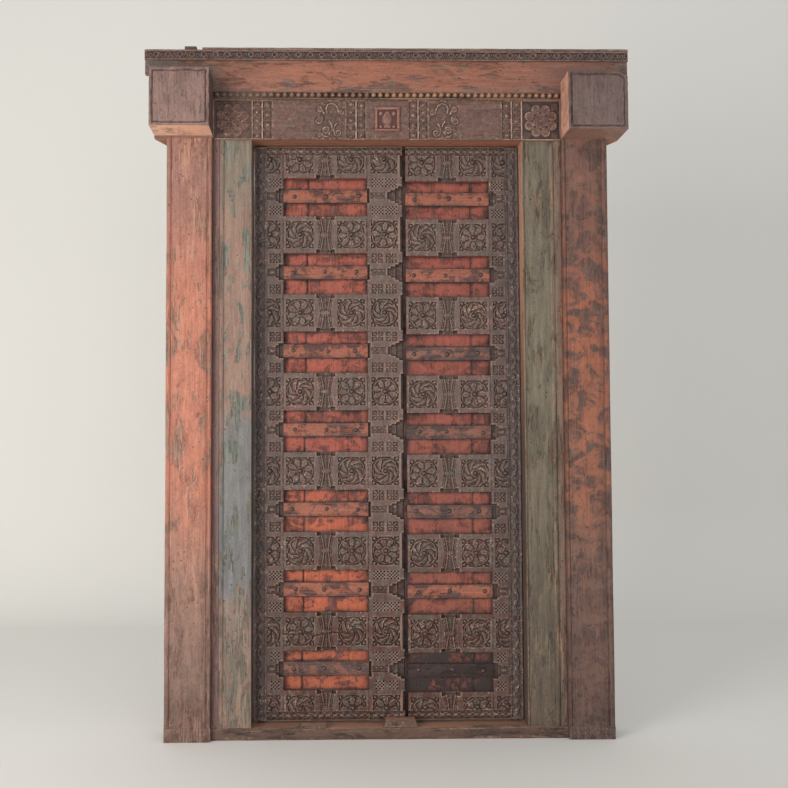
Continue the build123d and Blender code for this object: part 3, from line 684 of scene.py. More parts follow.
class Relief:
    """A board whose front is carved: heights over a grid, where 0 is the face."""

    def __init__(self, name: str, box: Box, pitch: float = 2.0) -> None:
        """Lay out the grid.

        Args:
            name: The piece's name.
            box: The board, whose front is its lowest Y.
            pitch: Grid spacing in millimetres.
        """
        self.name = name
        self.box = box
        self.pitch = pitch
        across = max(2, round(box.width / pitch) + 1)
        upright = max(2, round(box.height / pitch) + 1)
        self.x, self.z = np.meshgrid(np.linspace(box.x0, box.x1, across),
                                     np.linspace(box.z0, box.z1, upright))
        self.height = np.zeros_like(self.x)
        self.deepest = box.y1 - box.y0 - 0.4
        self.dark_at = 9.0              # depth in millimetres that reads as fully sunk and fully in painted shade
        # painted shade laid on the board as well as its depth
        self.painted_shade = np.zeros_like(self.x)
        seed = sum(map(ord, name))
        self.waver = [1.5 * Unevenness(seed + number, 24.0).at(self.x, self.z) for number in (0, 1)]

    def level(self, mask: Array, height: Array | float) -> None:
        """Bring the surface to a height where the mask is 1."""
        self.height = self.height * (1 - mask) + height * mask

    def block(self, x0: float, x1: float, z0: float, z1: float, edge: float = 1.3) -> Array:
        """Return the mask of a rectangle."""
        across = np.minimum(self.x - x0, x1 - self.x)
        upright = np.minimum(self.z - z0, z1 - self.z)
        return soft(np.minimum(across, upright), edge)

    def notch(self, x0: float, x1: float, z0: float, z1: float, depth: float | None = None) -> None:
        """Cut a rectangle, right through the board where no depth is given."""
        self.level(self.block(x0, x1, z0, z1, 1.0), -(depth or self.deepest))

    def rosette(self, x: float, z: float, half: tuple[float, float], bloom: Bloom,
                turn: float, zone: tuple[float, float], depth: float = 8.0) -> None:
        """Carve a flower in a ring, in a sunk square.

        Args:
            x: Middle across.
            z: Middle height.
            half: Half the square's width and height.
            bloom: The kind of flower.
            turn: Turn of the flower in radians.
            zone: Lowest and highest place that may be carved.
            depth: Depth of the sunk corners.
        """
        u, v = self.x - x + self.waver[0], self.z - z + self.waver[1]
        radius, angle = np.hypot(u, v), np.arctan2(v, u) + turn
        outer = min(half) + 1.0
        square = self.block(x - half[0], x + half[0], max(z - half[1], zone[0]),
                            min(z + half[1], zone[1]), 1.6)
        into = (half[0] + half[1] - np.abs(u) - np.abs(v)) / math.sqrt(2)
        aside = (np.abs(u) - half[0] - np.abs(v) + half[1]) / math.sqrt(2)
        ground = np.full_like(u, -depth)
        for inward, across, long, wide in ((8.0, 0.0, 6.5, 4.6), (15.0, 13.0, 4.2, 7.4)):
            lobe = 1 - np.hypot((into - inward) / long, (np.abs(aside) - across) / wide)
            ground = np.maximum(ground, -depth + (depth - 1.2) * np.clip(lobe * 3, 0, 1))
        wreath = radius - outer + 4.2 + 0.9 * np.cos(20 * angle)
        ring = np.clip(1 - (wreath / 2.9) ** 2, 0, 1) ** 0.5
        ground = np.maximum(ground, -depth + (depth - 1.4) * ring)
        flower = self._flower(radius, angle, outer - 6.5, bloom, depth)
        inner = soft(outer - 6.6 - radius, 1.2)
        ground = ground * (1 - inner) + flower * inner
        moat = np.exp(-((radius - 16.0) / 2.2) ** 2)
        ground = ground - 3.2 * moat
        boss = soft(13.0 - radius, 1.0)
        ground = ground * (1 - boss) - (0.3 + 1.6 * (radius / 13.0) ** 2) * boss
        self.level(square, np.clip(ground, -depth - 1, 0))

    @staticmethod
    def _flower(radius: Array, angle: Array, reach: float, bloom: Bloom, depth: float) -> Array:
        """Return the heights of a flower's petals, which nearly fill its ring.

        Args:
            radius: Distance from its middle.
            angle: Angle round its middle.
            reach: How far its petals reach.
            bloom: The kind of flower.
            depth: Depth of the gaps between petals.

        Returns:
            Heights, where 0 is the board's face.
        """
        kinds = {Bloom.WHORL: (8, 1.15), Bloom.LOTUS: (8, 0.0), Bloom.DAISY: (6, 0.0)}
        petals, swirl = kinds[bloom]
        along = np.clip((radius - 12.0) / (reach - 12.0), 0, 1)
        across = ((angle + swirl * along) * petals / TURN % 1.0) * 2 - 1
        width = 0.88 - 0.6 * np.clip((along - 0.5) / 0.5, 0, 1) ** 2.2
        inside = soft((width - np.abs(across)) * radius * math.pi / petals, 1.1)
        dome = np.clip(1 - (across / width) ** 2, 0, 1) ** 0.5
        if bloom is Bloom.WHORL:
            top = -0.8 - 4.2 * (across + 1) / 2
        elif bloom is Bloom.LOTUS:
            top = -3.4 + 2.4 * dome - 1.5 * np.exp(-(across / 0.13) ** 2) * (along > 0.1)
        else:
            top = -4.2 + 3.4 * dome
        top = top - 1.2 * np.sin(math.pi * along) ** 2 * (bloom is not Bloom.WHORL)
        return -depth + inside * (top + depth)

    def daisy(self, x: float, z: float, half: tuple[float, float], depth: float = 6.0) -> None:
        """Carve a small eight-petalled flower in a sunk square."""
        u, v = self.x - x, self.z - z
        radius, angle = np.hypot(u, v), np.arctan2(v, u)
        reach = np.hypot(*half) * 0.86
        beat = (angle + math.pi / 8) % (math.pi / 4) - math.pi / 8
        along, across = radius * np.cos(beat), radius * np.sin(beat)
        petal = 1 - np.hypot((along - reach * 0.58) / (reach * 0.44), across / (reach * 0.17))
        raised = np.maximum(np.clip(petal * 2.2, 0, 1), soft(4.5 - radius, 1.2))
        ground = -depth + (depth - 0.7) * raised
        self.level(self.block(x - half[0], x + half[0], z - half[1], z + half[1]), ground)

    def lattice(self, x: float, z: float, half: tuple[float, float], rows: int = 5,
                columns: int = 7, depth: float = 12.0) -> None:
        """Pierce a square with staggered holes, in rows of four and three, on the grid's lines.

        Args:
            x: Middle across.
            z: Middle height.
            half: Half its width and height.
            rows: Rows of holes.
            columns: Places in a row, where each second one is a hole.
            depth: Depth of the holes.
        """
        steps = [round(2 * reach / count / self.pitch)
                 for reach, count in ((half[0], columns), (half[1], rows))]
        starts = (int(np.argmin(np.abs(self.x[0] - x))) - steps[0] * columns // 2,
                  int(np.argmin(np.abs(self.z[:, 0] - z))) - steps[1] * rows // 2)
        for row in range(rows):
            for column in range(row % 2, columns, 2):
                left, low = starts[0] + column * steps[0], starts[1] + row * steps[1]
                self.height[low + 1:low + steps[1], left + 1:left + steps[0]] = -depth

    def cartouche(self, x: float, z: float, half: tuple[float, float]) -> None:
        """Carve a short band of curled leaves."""
        u, v = self.x - x, self.z - z
        curl = half[1] * 0.5 * np.sin(TURN * u / 17)
        stem = np.exp(-((v - curl) / 2.4) ** 2)
        leaf = np.exp(-(((u + 4) % 17 - 8.5) / 3.4) ** 2 - (np.abs(v) / half[1] - 0.55) ** 2 / 0.06)
        ground = -5.5 + 5.0 * np.clip(stem + leaf, 0, 1)
        self.level(self.block(x - half[0], x + half[0], z - half[1], z + half[1]), ground)

    def vine(self, along: Array, across: Array, half: float, pitch: float, mask: Array,
             depth: float = 5.0) -> None:
        """Carve a running vine: a winding stem with a ringed bud and leaves in each bend.

        Args:
            along: Distance along the band.
            across: Distance across it from its middle.
            half: Half the carved width.
            pitch: Length of one full wave.
            mask: Where the band is.
            depth: Depth of the ground.
        """
        phase = TURN * along / pitch
        stem = np.exp(-((across - half * 0.5 * np.sin(phase)) / (half * 0.17)) ** 2)
        grown = np.zeros_like(across)
        for side, shift in ((1, 0.25), (-1, 0.75)):
            local = (along / pitch - shift + 0.5) % 1.0 * pitch - pitch / 2
            u, v = local, across + side * half * 0.36
            radius = np.hypot(u, v)
            bud_ring = np.exp(-((radius - half * 0.42) / (half * 0.12)) ** 2)
            bud = soft(half * 0.2 - radius, 1.0)
            far = np.abs(u) - pitch * 0.19
            rise = v - side * half * 0.3 + far * side * 0.5
            leaf = soft(half * 0.3 - np.hypot(far * 0.8, rise), 1.4)
            grown = np.maximum.reduce([grown, bud_ring, bud, leaf * 0.85])
        raised = np.clip(np.maximum(stem, grown), 0, 1)
        self.level(mask, -depth + (depth - 0.5) * raised)

    def line(self, points: Sequence[tuple[float, float]], width: float, top: float,
             foot: float) -> None:
        """Raise or sink a round ridge along a line of points.

        Args:
            points: The line, across and up.
            width: Width of the ridge.
            top: Height of its crown.
            foot: Height of its edges; where it is below the crown's, the ridge is a furrow.
        """
        near = np.full_like(self.x, 1e9)
        for (ax, az), (bx, bz) in zip(points, points[1:]):
            dx, dz = bx - ax, bz - az
            share = np.clip(((self.x - ax) * dx + (self.z - az) * dz) / (dx * dx + dz * dz), 0, 1)
            near = np.minimum(near, np.hypot(self.x - ax - share * dx, self.z - az - share * dz))
        if foot < top:
            crown = np.clip(1 - (near / (width / 2)) ** 2, 0, 1) ** 0.5
            self.height = np.where(crown > 0, foot + (top - foot) * crown, self.height)
        else:
            self.level(soft(width / 2 - near, 1.5), foot)

    def waist(self, x: float, z: float, low: float, high: float) -> None:
        """Carve the waisted panel between two squares: nested curved mouldings and a beaded rod.

        Args:
            x: Middle across.
            z: Height of the waist.
            low: Lowest place of the panel.
            high: Highest place of the panel.
        """
        u, v = np.abs(self.x - x), self.z - z
        reach = max(high - z, z - low)
        flare = np.clip(np.abs(v) / reach, 0, 1) ** 1.4
        inner = 7.5 + 11.5 * flare
        level = np.full_like(u, -10.0)
        for offset, top in ((0.0, -1.0), (7.0, -2.0), (13.0, -0.6)):
            ridge = np.clip(1 - ((u - inner - offset) / 3.0) ** 2, 0, 1) ** 0.5
            level = np.maximum(level, -7.0 + (7.0 + top) * ridge)
        level = np.where(u > inner + 14.5, -0.4, level)
        rod = soft(2.9 - u, 1.0) * (0.72 + 0.28 * np.cos(TURN * v / 9.5))
        level = np.maximum(level, -10 + 8.6 * rod)
        knot = soft(8.5 - np.hypot(u * 0.55, v * 1.25), 1.6)
        level = level * (1 - knot) - 0.8 * knot
        self.level(self.block(x - 32.5, x + 32.5, low, high), level)

    def _inside(self) -> Array:
        """Return the distance of each place from the board's rim."""
        return np.minimum.reduce([self.x - self.box.x0, self.box.x1 - self.x,
                                  self.z - self.box.z0, self.box.z1 - self.z])

    def weather(self, seed: int, depth: float = 0.55, edge_wear: float = 1.4,
                edge_shade: float = 0.0) -> None:
        """Rub the carving: shallow unevenness all over and rounded, bitten board edges, with
        painted shade along the rim.
        """
        rough = Unevenness(seed, 26.0)
        fine = Unevenness(seed + 1, 9.0)
        self.height = self.height - depth * (0.5 + 0.35 * rough.at(self.x, self.z)
                                             + 0.15 * fine.at(self.x, self.z))
        inside = self._inside()
        # Painted shade along the rim, where the board meets its neighbours
        self.painted_shade = np.maximum(self.painted_shade, edge_shade * np.exp(-inside / 1.8))
        bite = edge_wear * (1 + 0.6 * rough.at(self.z, self.x))
        self.height = self.height - np.clip(bite, 0.3, None) * np.exp(-inside / 1.6)
        self.height = np.clip(self.height, -self.deepest, 0)

    def thin(self, rows: Array, columns: Array, keep: int = 6) -> None:
        """Leave only each n-th row and column of the grid where they are hidden.

        Args:
            rows: Which rows show.
            columns: Which columns show.
            keep: How many hidden lines make one.
        """
        rows = rows | (np.arange(len(rows)) % keep == 0)
        columns = columns | (np.arange(len(columns)) % keep == 0)
        rows[[0, -1]] = columns[[0, -1]] = True
        self.x, self.z, self.height, self.painted_shade = (
            field[rows][:, columns] for field in (self.x, self.z, self.height, self.painted_shade))

    def piece(self, material: bpy.types.Material, crease: float = 48.0,
              shape: Any = None) -> bpy.types.Object:
        """Build the closed board.

        Args:
            material: Its finish.
            crease: Angle from which an edge is sharp.
            shape: A function that moves the finished points, or None.

        Returns:
            The object.
        """
        rows, columns = self.height.shape
        number = np.arange(rows * columns).reshape(rows, columns)
        ring = np.concatenate([number[0, :-1], number[:-1, -1],
                               number[-1, :0:-1], number[:0:-1, 0]])
        front = np.stack([self.x, self.box.y0 - self.height, self.z], -1).reshape(-1, 3)
        back = front[ring].copy()
        back[:, 1] = self.box.y1
        points = np.concatenate([front, back])
        quads = np.stack([number[:-1, :-1], number[:-1, 1:], number[1:, 1:], number[1:, :-1]],
                         -1).reshape(-1, 4)
        rim = np.arange(len(ring)) + len(front)
        after, rim_after = np.roll(ring, -1), np.roll(rim, -1)
        sides = np.stack([ring, rim, rim_after, after], -1)
        loops = np.concatenate([quads.ravel(), sides.ravel(), rim[::-1]])
        starts = np.arange(len(quads) + len(sides) + 1) * 4
        layout = self._unfolded(points, quads, sides, rim)
        if shape is not None:
            points = shape(points)
        mesh = mesh_of(self.name, points, loops, starts)
        self._store(mesh, len(quads), len(sides), len(back))
        layer = mesh.uv_layers.new(name=BAKE_MAP)
        layer.data.foreach_set("uv", layout.astype(np.float32).ravel())
        return new_object(self.name, mesh, material, crease)

    def _unfolded(self, points: Array, quads: Array, sides: Array, rim: Array) -> Array:
        """Unfold the board flat: its front, its four sides round it, and its back beside them.

        Args:
            points: The board's points.
            quads: Faces of the front.
            sides: Faces of the sides.
            rim: Points of the back, in order.

        Returns:
            A place from 0 to 1 for each corner of each face.
        """
        box, deep = self.box, self.box.y1 - self.box.y0
        flat_front = points[quads.ravel()][:, [0, 2]]
        corners = points[sides.ravel()].reshape(-1, 4, 3)
        middle = corners.mean(axis=1)
        fold = corners[:, :, 1] - box.y0
        across, upright = corners[:, :, 0].copy(), corners[:, :, 2].copy()
        gap = self.pitch
        left = np.abs(middle[:, 0] - box.x0) < 1e-3
        right = np.abs(middle[:, 0] - box.x1) < 1e-3
        bottom = np.abs(middle[:, 2] - box.z0) < 1e-3
        top = np.abs(middle[:, 2] - box.z1) < 1e-3
        across[left] = box.x0 - gap - fold[left]
        across[right] = box.x1 + gap + fold[right]
        upright[bottom] = box.z0 - gap - fold[bottom]
        upright[top] = box.z1 + gap + fold[top]
        flat_sides = np.stack([across, upright], -1).reshape(-1, 2)
        flat_back = points[rim[::-1]][:, [0, 2]]
        flat_back[:, 0] = 2 * box.x1 + deep + 3 * gap - flat_back[:, 0]
        flat = np.concatenate([flat_front, flat_sides, flat_back])
        low = flat.min(axis=0)
        size = (flat.max(axis=0) - low).max()
        return 0.004 + 0.992 * (flat - low) / size

    def _store(self, mesh: bpy.types.Mesh, quads: int, sides: int, back: int) -> None:
        """Store how deep each place is with its painted shade, how exposed and how near the rim it
        is.
        """
        reach = max(1, round(4.5 / self.pitch))
        crest = np.clip((self.height - smeared(self.height, reach)) / 2.4, -1, 1)
        inside = self._inside()
        crest = crest + 0.35 * np.exp(-inside / 2.2)
        # sink carries both the depth and the painted shade laid on the board
        sink = np.clip(self.painted_shade - self.height / self.dark_at, 0, 1)
        none = np.zeros(back)
        carry(mesh, "sink", "POINT", np.concatenate([sink.ravel(), none]))
        carry(mesh, "crest", "POINT", np.concatenate([crest.ravel(), none]))
        rim = np.concatenate([np.zeros(quads), np.ones(sides), np.zeros(1)])
        carry(mesh, "rim", "FACE", rim)


class Moulding:
    """A worn bar: a closed outline that runs along an axis, with its arrises rubbed."""

    def __init__(self, name: str, start: float, end: float, upright: bool,
                 step: float = 18.0) -> None:
        """Start a bar.

        Args:
            name: The piece's name.
            start: Where it starts along its axis.
            end: Where it ends.
            upright: True to run along Z, or else along X.
            step: Distance between its sections.
        """
        self.name = name
        self.start = start
        self.end = end
        self.upright = upright
        self.step = step
        self.outline: list[tuple[float, float, float]] = []

    def to(self, first: float, second: float, wear: float = 0.0) -> None:
        """Add a corner of the outline, with how exposed it is."""
        self.outline.append((first, second, wear))

    def bead(self, start: tuple[float, float], end: tuple[float, float], rise: float,
             steps: int = 6) -> None:
        """Add a round bead between two corners of the outline.

        Args:
            start: Where it starts.
            end: Where it ends.
            rise: How far it stands out, to the right of the way from start to end.
            steps: Pieces of its arc.
        """
        ahead = np.subtract(end, start)
        side = np.array([ahead[1], -ahead[0]]) / np.hypot(*ahead)
        middle = np.add(start, end) / 2
        for number in range(steps + 1):
            turn = math.pi * number / steps
            place = middle - ahead / 2 * math.cos(turn) + side * rise * math.sin(turn)
            self.to(place[0], place[1], 0.5 * math.sin(turn))

    def piece(self, material: bpy.types.Material, seed: int, wear: float = 1.6,
              arris: float = 2.5) -> bpy.types.Object:
        """Build the closed bar.

        Args:
            material: Its finish.
            seed: Seed of its wear.
            wear: How deep exposed arrises are bitten, in millimetres.
            arris: How far each corner is rounded.

        Returns:
            The object.
        """
        ring = self._rounded(arris)
        sections = max(2, round((self.end - self.start) / self.step)) + 1
        places = np.linspace(self.start, self.end, sections)
        inward = self._inward(ring[:, :2])
        count = len(ring)
        turns = np.arange(count) * 11.0
        rough, slow = Unevenness(seed, 90.0), Unevenness(seed + 1, 420.0)
        along, round_it = np.meshgrid(places, turns, indexing="ij")
        bite = ring[:, 2] * wear * np.clip(0.35 + 0.75 * rough.at(round_it * 0.2, along), 0, 2.2)
        bow = 0.5 * (1 + slow.at(round_it * 0.05, along))
        depth = np.clip(bite + bow, 0, None)
        first = ring[:, 0] + inward[:, 0] * depth
        second = ring[:, 1] + inward[:, 1] * depth
        if self.upright:
            points = np.stack([first, second, along], -1).reshape(-1, 3)
        else:
            points = np.stack([along, first, second], -1).reshape(-1, 3)
        number = np.arange(sections * count).reshape(sections, count)
        after = np.roll(number, -1, axis=1)
        quads = np.stack([number[:-1], after[:-1], after[1:], number[1:]], -1).reshape(-1, 4)
        loops = np.concatenate([quads.ravel(), number[0][::-1], number[-1]])
        walls = len(quads) * 4
        starts = np.concatenate([np.arange(len(quads)) * 4, [walls, walls + count]])
        mesh = mesh_of(self.name, points, loops, starts)
        exposed = np.broadcast_to(ring[:, 2], (sections, count)).ravel()
        carry(mesh, "edge", "POINT", exposed)
        return new_object(self.name, mesh, material, 35.0)

    def _rounded(self, arris: float) -> Array:
        """Round each corner with a short arc and share out the long stretches."""
        ring: list[tuple[float, float, float]] = []
        total = len(self.outline)
        for number in range(total):
            here = np.array(self.outline[number])
            before = np.array(self.outline[number - 1])
            after = np.array(self.outline[(number + 1) % total])
            back, ahead = before[:2] - here[:2], after[:2] - here[:2]
            cosine = np.dot(back, ahead) / (np.hypot(*back) * np.hypot(*ahead))
            if cosine < -0.8:
                ring.append(tuple(here))
            else:
                cut = min(arris, 0.45 * np.hypot(*back), 0.45 * np.hypot(*ahead))
                start = here[:2] + back / np.hypot(*back) * cut
                end = here[:2] + ahead / np.hypot(*ahead) * cut
                for share in (0.0, 0.5, 1.0):
                    lean = here[:2] * 0.5 + (start * (1 - share) + end * share) * 0.5
                    place = lean if share == 0.5 else (start if share == 0.0 else end)
                    ring.append((place[0], place[1], here[2] * (1.0 if share == 0.5 else 0.6)))
            span = np.hypot(*ahead)
            extra = int(span // 34)
            for part in range(1, extra + 1):
                share = part / (extra + 1)
                place = here[:2] + ahead * share
                ring.append((place[0], place[1], 0.0))
        return np.array(ring)

    @staticmethod
    def _inward(ring: Array) -> Array:
        """Return the inward direction at each point of a ring that turns counter-clockwise."""
        ahead = np.roll(ring, -1, axis=0) - np.roll(ring, 1, axis=0)
        inward = np.stack([-ahead[:, 1], ahead[:, 0]], -1)
        return inward / np.maximum(np.hypot(inward[:, 0], inward[:, 1]), 1e-9)[:, None]


def prism(name: str, outline: Sequence[tuple[float, float]], y0: float, y1: float, arris: float,
          material: bpy.types.Material, seed: int) -> bpy.types.Object:
    """Build a worn block from an outline that faces the viewer.

    Args:
        name: The piece's name.
        outline: Corners across and up, counter-clockwise as the viewer sees them.
        y0: Front.
        y1: Back.
        arris: How far its edges are rounded.
        material: Its finish.
        seed: Seed of its wear.

    Returns:
        The object.
    """
    shape = bmesh.new()
    front = [shape.verts.new((x, y0, z)) for x, z in outline]
    back = [shape.verts.new((x, y1, z)) for x, z in outline]
    shape.faces.new(front)
    shape.faces.new(back[::-1])
    for number in range(len(outline)):
        after = (number + 1) % len(outline)
        shape.faces.new((front[number], back[number], back[after], front[after]))
    bmesh.ops.bevel(shape, geom=list(shape.edges), offset=arris, segments=2, affect="EDGES",
                    profile=0.6)
    wander = Unevenness(seed, 40.0)
    middle = sum((vert.co for vert in shape.verts), Vector()) / len(shape.verts)
    for vert in shape.verts:
        lean = 0.35 * (1 + float(wander.at(np.array(vert.co.x), np.array(vert.co.z))))
        vert.co += (middle - vert.co).normalized() * lean
        vert.co *= MM
    mesh = bpy.data.meshes.new(name)
    shape.to_mesh(mesh)
    shape.free()
    carry(mesh, "edge", "POINT", np.full(len(mesh.vertices), 0.6))
    return new_object(name, mesh, material, 30.0)


def joined(parts: Sequence[bpy.types.Object]) -> bpy.types.Object:
    """Join some meshes into the first one."""
    with bpy.context.temp_override(active_object=parts[0], selected_editable_objects=parts,
                                   object=parts[0], selected_objects=parts):
        bpy.ops.object.join()
    return parts[0]


def domes(name: str, places: Iterable[tuple[float, float, float]], radius: float, height: float,
          flange: float, material: bpy.types.Material, seed: int,
          sides: int = 14) -> bpy.types.Object:
    """Build round-headed iron fasteners, each slightly its own, as one piece.

    Args:
        name: The piece's name.
        places: Across, face depth and height of each one.
        radius: Radius of the head.
        height: How far it stands out.
        flange: Height of the square foot under the dome.
        material: Its finish.
        seed: Seed of their differences.
        sides: Facets round a head.

    Returns:
        The object.
    """
    draw = np.random.default_rng(seed)
    profile = [(1.0, 0.0), (1.0, flange / height), (0.86, 0.45), (0.62, 0.74), (0.34, 0.93)]
    points, loops, starts, crest = [], [], [], []
    for x, y, z in places:
        base = len(points)
        lean_x, lean_z = draw.uniform(-0.6, 0.6, 2)
        size = radius * draw.uniform(0.9, 1.0)
        tall = height * draw.uniform(0.85, 1.0)
        for share, rise in profile:
            for number in range(sides):
                turn = TURN * number / sides
                points.append((x + lean_x * rise + size * share * math.cos(turn), y - tall * rise,
                               z + lean_z * rise + size * share * math.sin(turn)))
                crest.append(rise)
        points.append((x + lean_x, y - tall, z + lean_z))
        crest.append(1.0)
        for row in range(len(profile) - 1):
            for number in range(sides):
                after = (number + 1) % sides
                low, high = base + row * sides, base + (row + 1) * sides
                starts.append(len(loops))
                loops += [low + number, low + after, high + after, high + number]
        top, last = base + len(profile) * sides, base + (len(profile) - 1) * sides
        for number in range(sides):
            starts.append(len(loops))
            loops += [last + number, last + (number + 1) % sides, top]
        starts.append(len(loops))
        loops += [base + number for number in range(sides - 1, -1, -1)]
    mesh = mesh_of(name, np.array(points), np.array(loops), np.array(starts))
    carry(mesh, "crest", "POINT", np.array(crest))
    return new_object(name, mesh, material, 40.0)


def claim(piece: bpy.types.Object, body: str, node: str) -> bpy.types.Object:
    """Let a piece ride on a body and stand for a CAD node, whose mesh is hidden."""
    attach(piece, body)
    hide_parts(node)
    return piece


@dataclass
class Finishes:
    """Every finish of the door, made once."""

    def build(self) -> dict[str, bpy.types.Material]:
        """Return the materials by name."""
        recipes = (self._frame_paints() + self._header_paints() + self._leaf_paints()
                   + [HandForgedIron("forged_iron")])
        return {recipe.name: recipe.material() for recipe in recipes}

    @staticmethod
    def _frame_paints() -> list[Any]:
        """Return the finishes of posts, jambs and threshold."""
        return [
            PaintedTimber(
                "post_paint_left", Grain.UPRIGHT, ((0, (88, 64, 55)), (280, (124, 96, 84)),
                (560, (138, 100, 86)), (900, (170, 106, 84)), (1550, (172, 108, 86)),
                (1850, (142, 98, 86)), (2090, (136, 98, 86))), bare=tone(122, 96, 86),
                patch=tone(162, 118, 98), patch_low=tone(126, 92, 80), bare_from=0.57,
                patch_from=0.53, stretch=2.0, grain_lines=0.3, feather=0.035, blotch=0.8),
            PaintedTimber(
                "post_paint_right", Grain.UPRIGHT, ((0, (62, 45, 38)), (280, (100, 73, 61)),
                (640, (114, 80, 66)), (900, (144, 88, 64)), (1500, (146, 84, 60)),
                (1800, (120, 78, 62)), (2090, (116, 80, 68))), bare=tone(84, 67, 63),
                patch=tone(106, 74, 62), bare_from=0.53, patch_from=0.51, stretch=0.9,
                blotch=1.1, feather=0.05, grain_lines=0.25),
            # The jambs' faces into the doorway carry painted light and shade: the right one is pale
            # as if lit from the left, the left one darker as if in shade
            PaintedTimber(
                "jamb_paint_left", Grain.UPRIGHT, ((0, (134, 104, 90)), (420, (132, 108, 96)),
                (540, (106, 104, 104)), (1060, (108, 106, 104)), (1180, (136, 106, 92)),
                (1750, (134, 106, 92)), (1900, (120, 104, 90)), (2090, (116, 104, 90))),
                bare=tone(126, 100, 88), patch=tone(106, 110, 100),
                patch_low=tone(116, 106, 94), bare_from=0.56, patch_from=0.52, grain_lines=0.4,
                strip=(594, tone(112, 84, 80)), reveal=tone(120, 84, 70), reveal_side=1),
            PaintedTimber(
                "jamb_paint_right", Grain.UPRIGHT, ((0, (84, 68, 56)), (500, (92, 80, 66)),
                (1300, (108, 99, 82)), (1700, (106, 96, 80)), (2090, (104, 94, 80))),
                bare=tone(120, 94, 78), patch=tone(96, 88, 70), bare_from=0.55, patch_from=0.51,
                grain_lines=0.8, strip=(598, tone(116, 92, 80)), reveal=tone(176, 128, 104),
                reveal_side=-1),
            # The threshold's upward faces are painted pale as painted light
            PaintedTimber(
                "threshold_timber", Grain.ACROSS, ((-630, (88, 66, 56)), (0, (92, 66, 54)),
                (630, (86, 62, 52))), bare=tone(104, 82, 70), patch=tone(74, 56, 48),
                bare_from=0.57, over=tone(158, 116, 94)),
        ]

    @staticmethod
    def _header_paints() -> list[Any]:
        """Return the finishes of the header."""
        return [
            # The lintel's and header's downward faces keep their orange paint, made paler as
            # painted light
            PaintedTimber(
                "lintel_paint", Grain.ACROSS, ((-852, (84, 70, 66)), (-640, (88, 72, 66)),
                (-580, (130, 86, 70)), (-200, (142, 90, 70)), (250, (140, 88, 68)),
                (560, (120, 82, 68)), (852, (108, 78, 68))), bare=tone(102, 86, 80),
                patch=tone(128, 86, 68), bare_from=0.55, patch_from=0.53, stretch=2.2,
                grain_lines=0.25, under=tone(150, 102, 82)),
            PaintedTimber(
                "header_paint", Grain.ACROSS, ((-820, (108, 82, 70)), (0, (128, 88, 70)),
                (820, (108, 82, 70))), bare=tone(132, 104, 88), patch=tone(120, 84, 66),
                under=tone(160, 104, 76), bare_from=0.56),
            # The blocks' inner and downward faces carry painted light and shade: the left block's
            # underside is pale as if lit from below and its inner side dark as if in shade; the
            # right block's inner side and underside are pale as if lit
            PaintedTimber(
                "block_paint_left", Grain.UPRIGHT, ((2090, (132, 104, 94)),
                (2190, (128, 100, 92)), (2292, (122, 96, 88))), bare=tone(112, 90, 82),
                patch=tone(122, 104, 94), bare_from=0.57, patch_from=0.57, stretch=1.3,
                grain_lines=0.2, reveal=tone(92, 70, 62), reveal_side=1,
                under=tone(236, 184, 158)),
            PaintedTimber(
                "block_paint_right", Grain.UPRIGHT, ((2090, (108, 84, 78)),
                (2190, (102, 84, 80)), (2292, (98, 78, 72))), bare=tone(92, 80, 76),
                patch=tone(120, 82, 72), bare_from=0.56, patch_from=0.57, stretch=1.2,
                grain_lines=0.25, blotch=0.8, reveal=tone(206, 152, 130), reveal_side=-1,
                under=tone(148, 110, 96)),
            PaintedTimber(
                "bead_timber", Grain.ACROSS, ((-612, (96, 76, 66)), (-300, (128, 98, 82)),
                (0, (156, 118, 96)), (612, (146, 110, 90))), bare=tone(170, 136, 114),
                patch=tone(116, 86, 72), bare_from=0.55, grain_lines=0.2),
            CarvedTimber(
                "frieze_carving", high_tone=tone(98, 71, 62), low_tone=tone(98, 71, 62),
                hollow=tone(48, 36, 34), red=tone(112, 72, 60), slate=tone(94, 76, 68),
                crest_tone=tone(190, 158, 138), grain=Grain.ACROSS, rim_tone=tone(140, 100, 82),
                darkest=0.8, flecks=0.4, rub_and_highlight=0.9),
            CarvedTimber(
                "medallion_carving", high_tone=tone(122, 78, 68), low_tone=tone(122, 78, 68),
                hollow=tone(70, 40, 36), red=tone(136, 74, 62), slate=tone(104, 80, 72),
                crest_tone=tone(172, 130, 112), grain=Grain.ACROSS, darkest=0.8, flecks=0.4),
            CarvedTimber(
                "cornice_carving", high_tone=tone(100, 76, 68), low_tone=tone(100, 76, 68),
                hollow=tone(46, 36, 34), crest_tone=tone(152, 126, 112), red=tone(100, 70, 62),
                slate=tone(88, 76, 70), grain=Grain.ACROSS, rim_tone=tone(108, 82, 72),
                darkest=0.85, flecks=0.3),
            PaintedTimber(
                "fillet_timber", Grain.ACROSS, ((-650, (106, 80, 70)), (852, (102, 82, 74))),
                bare=tone(128, 108, 96), patch=tone(90, 72, 66)),
        ]

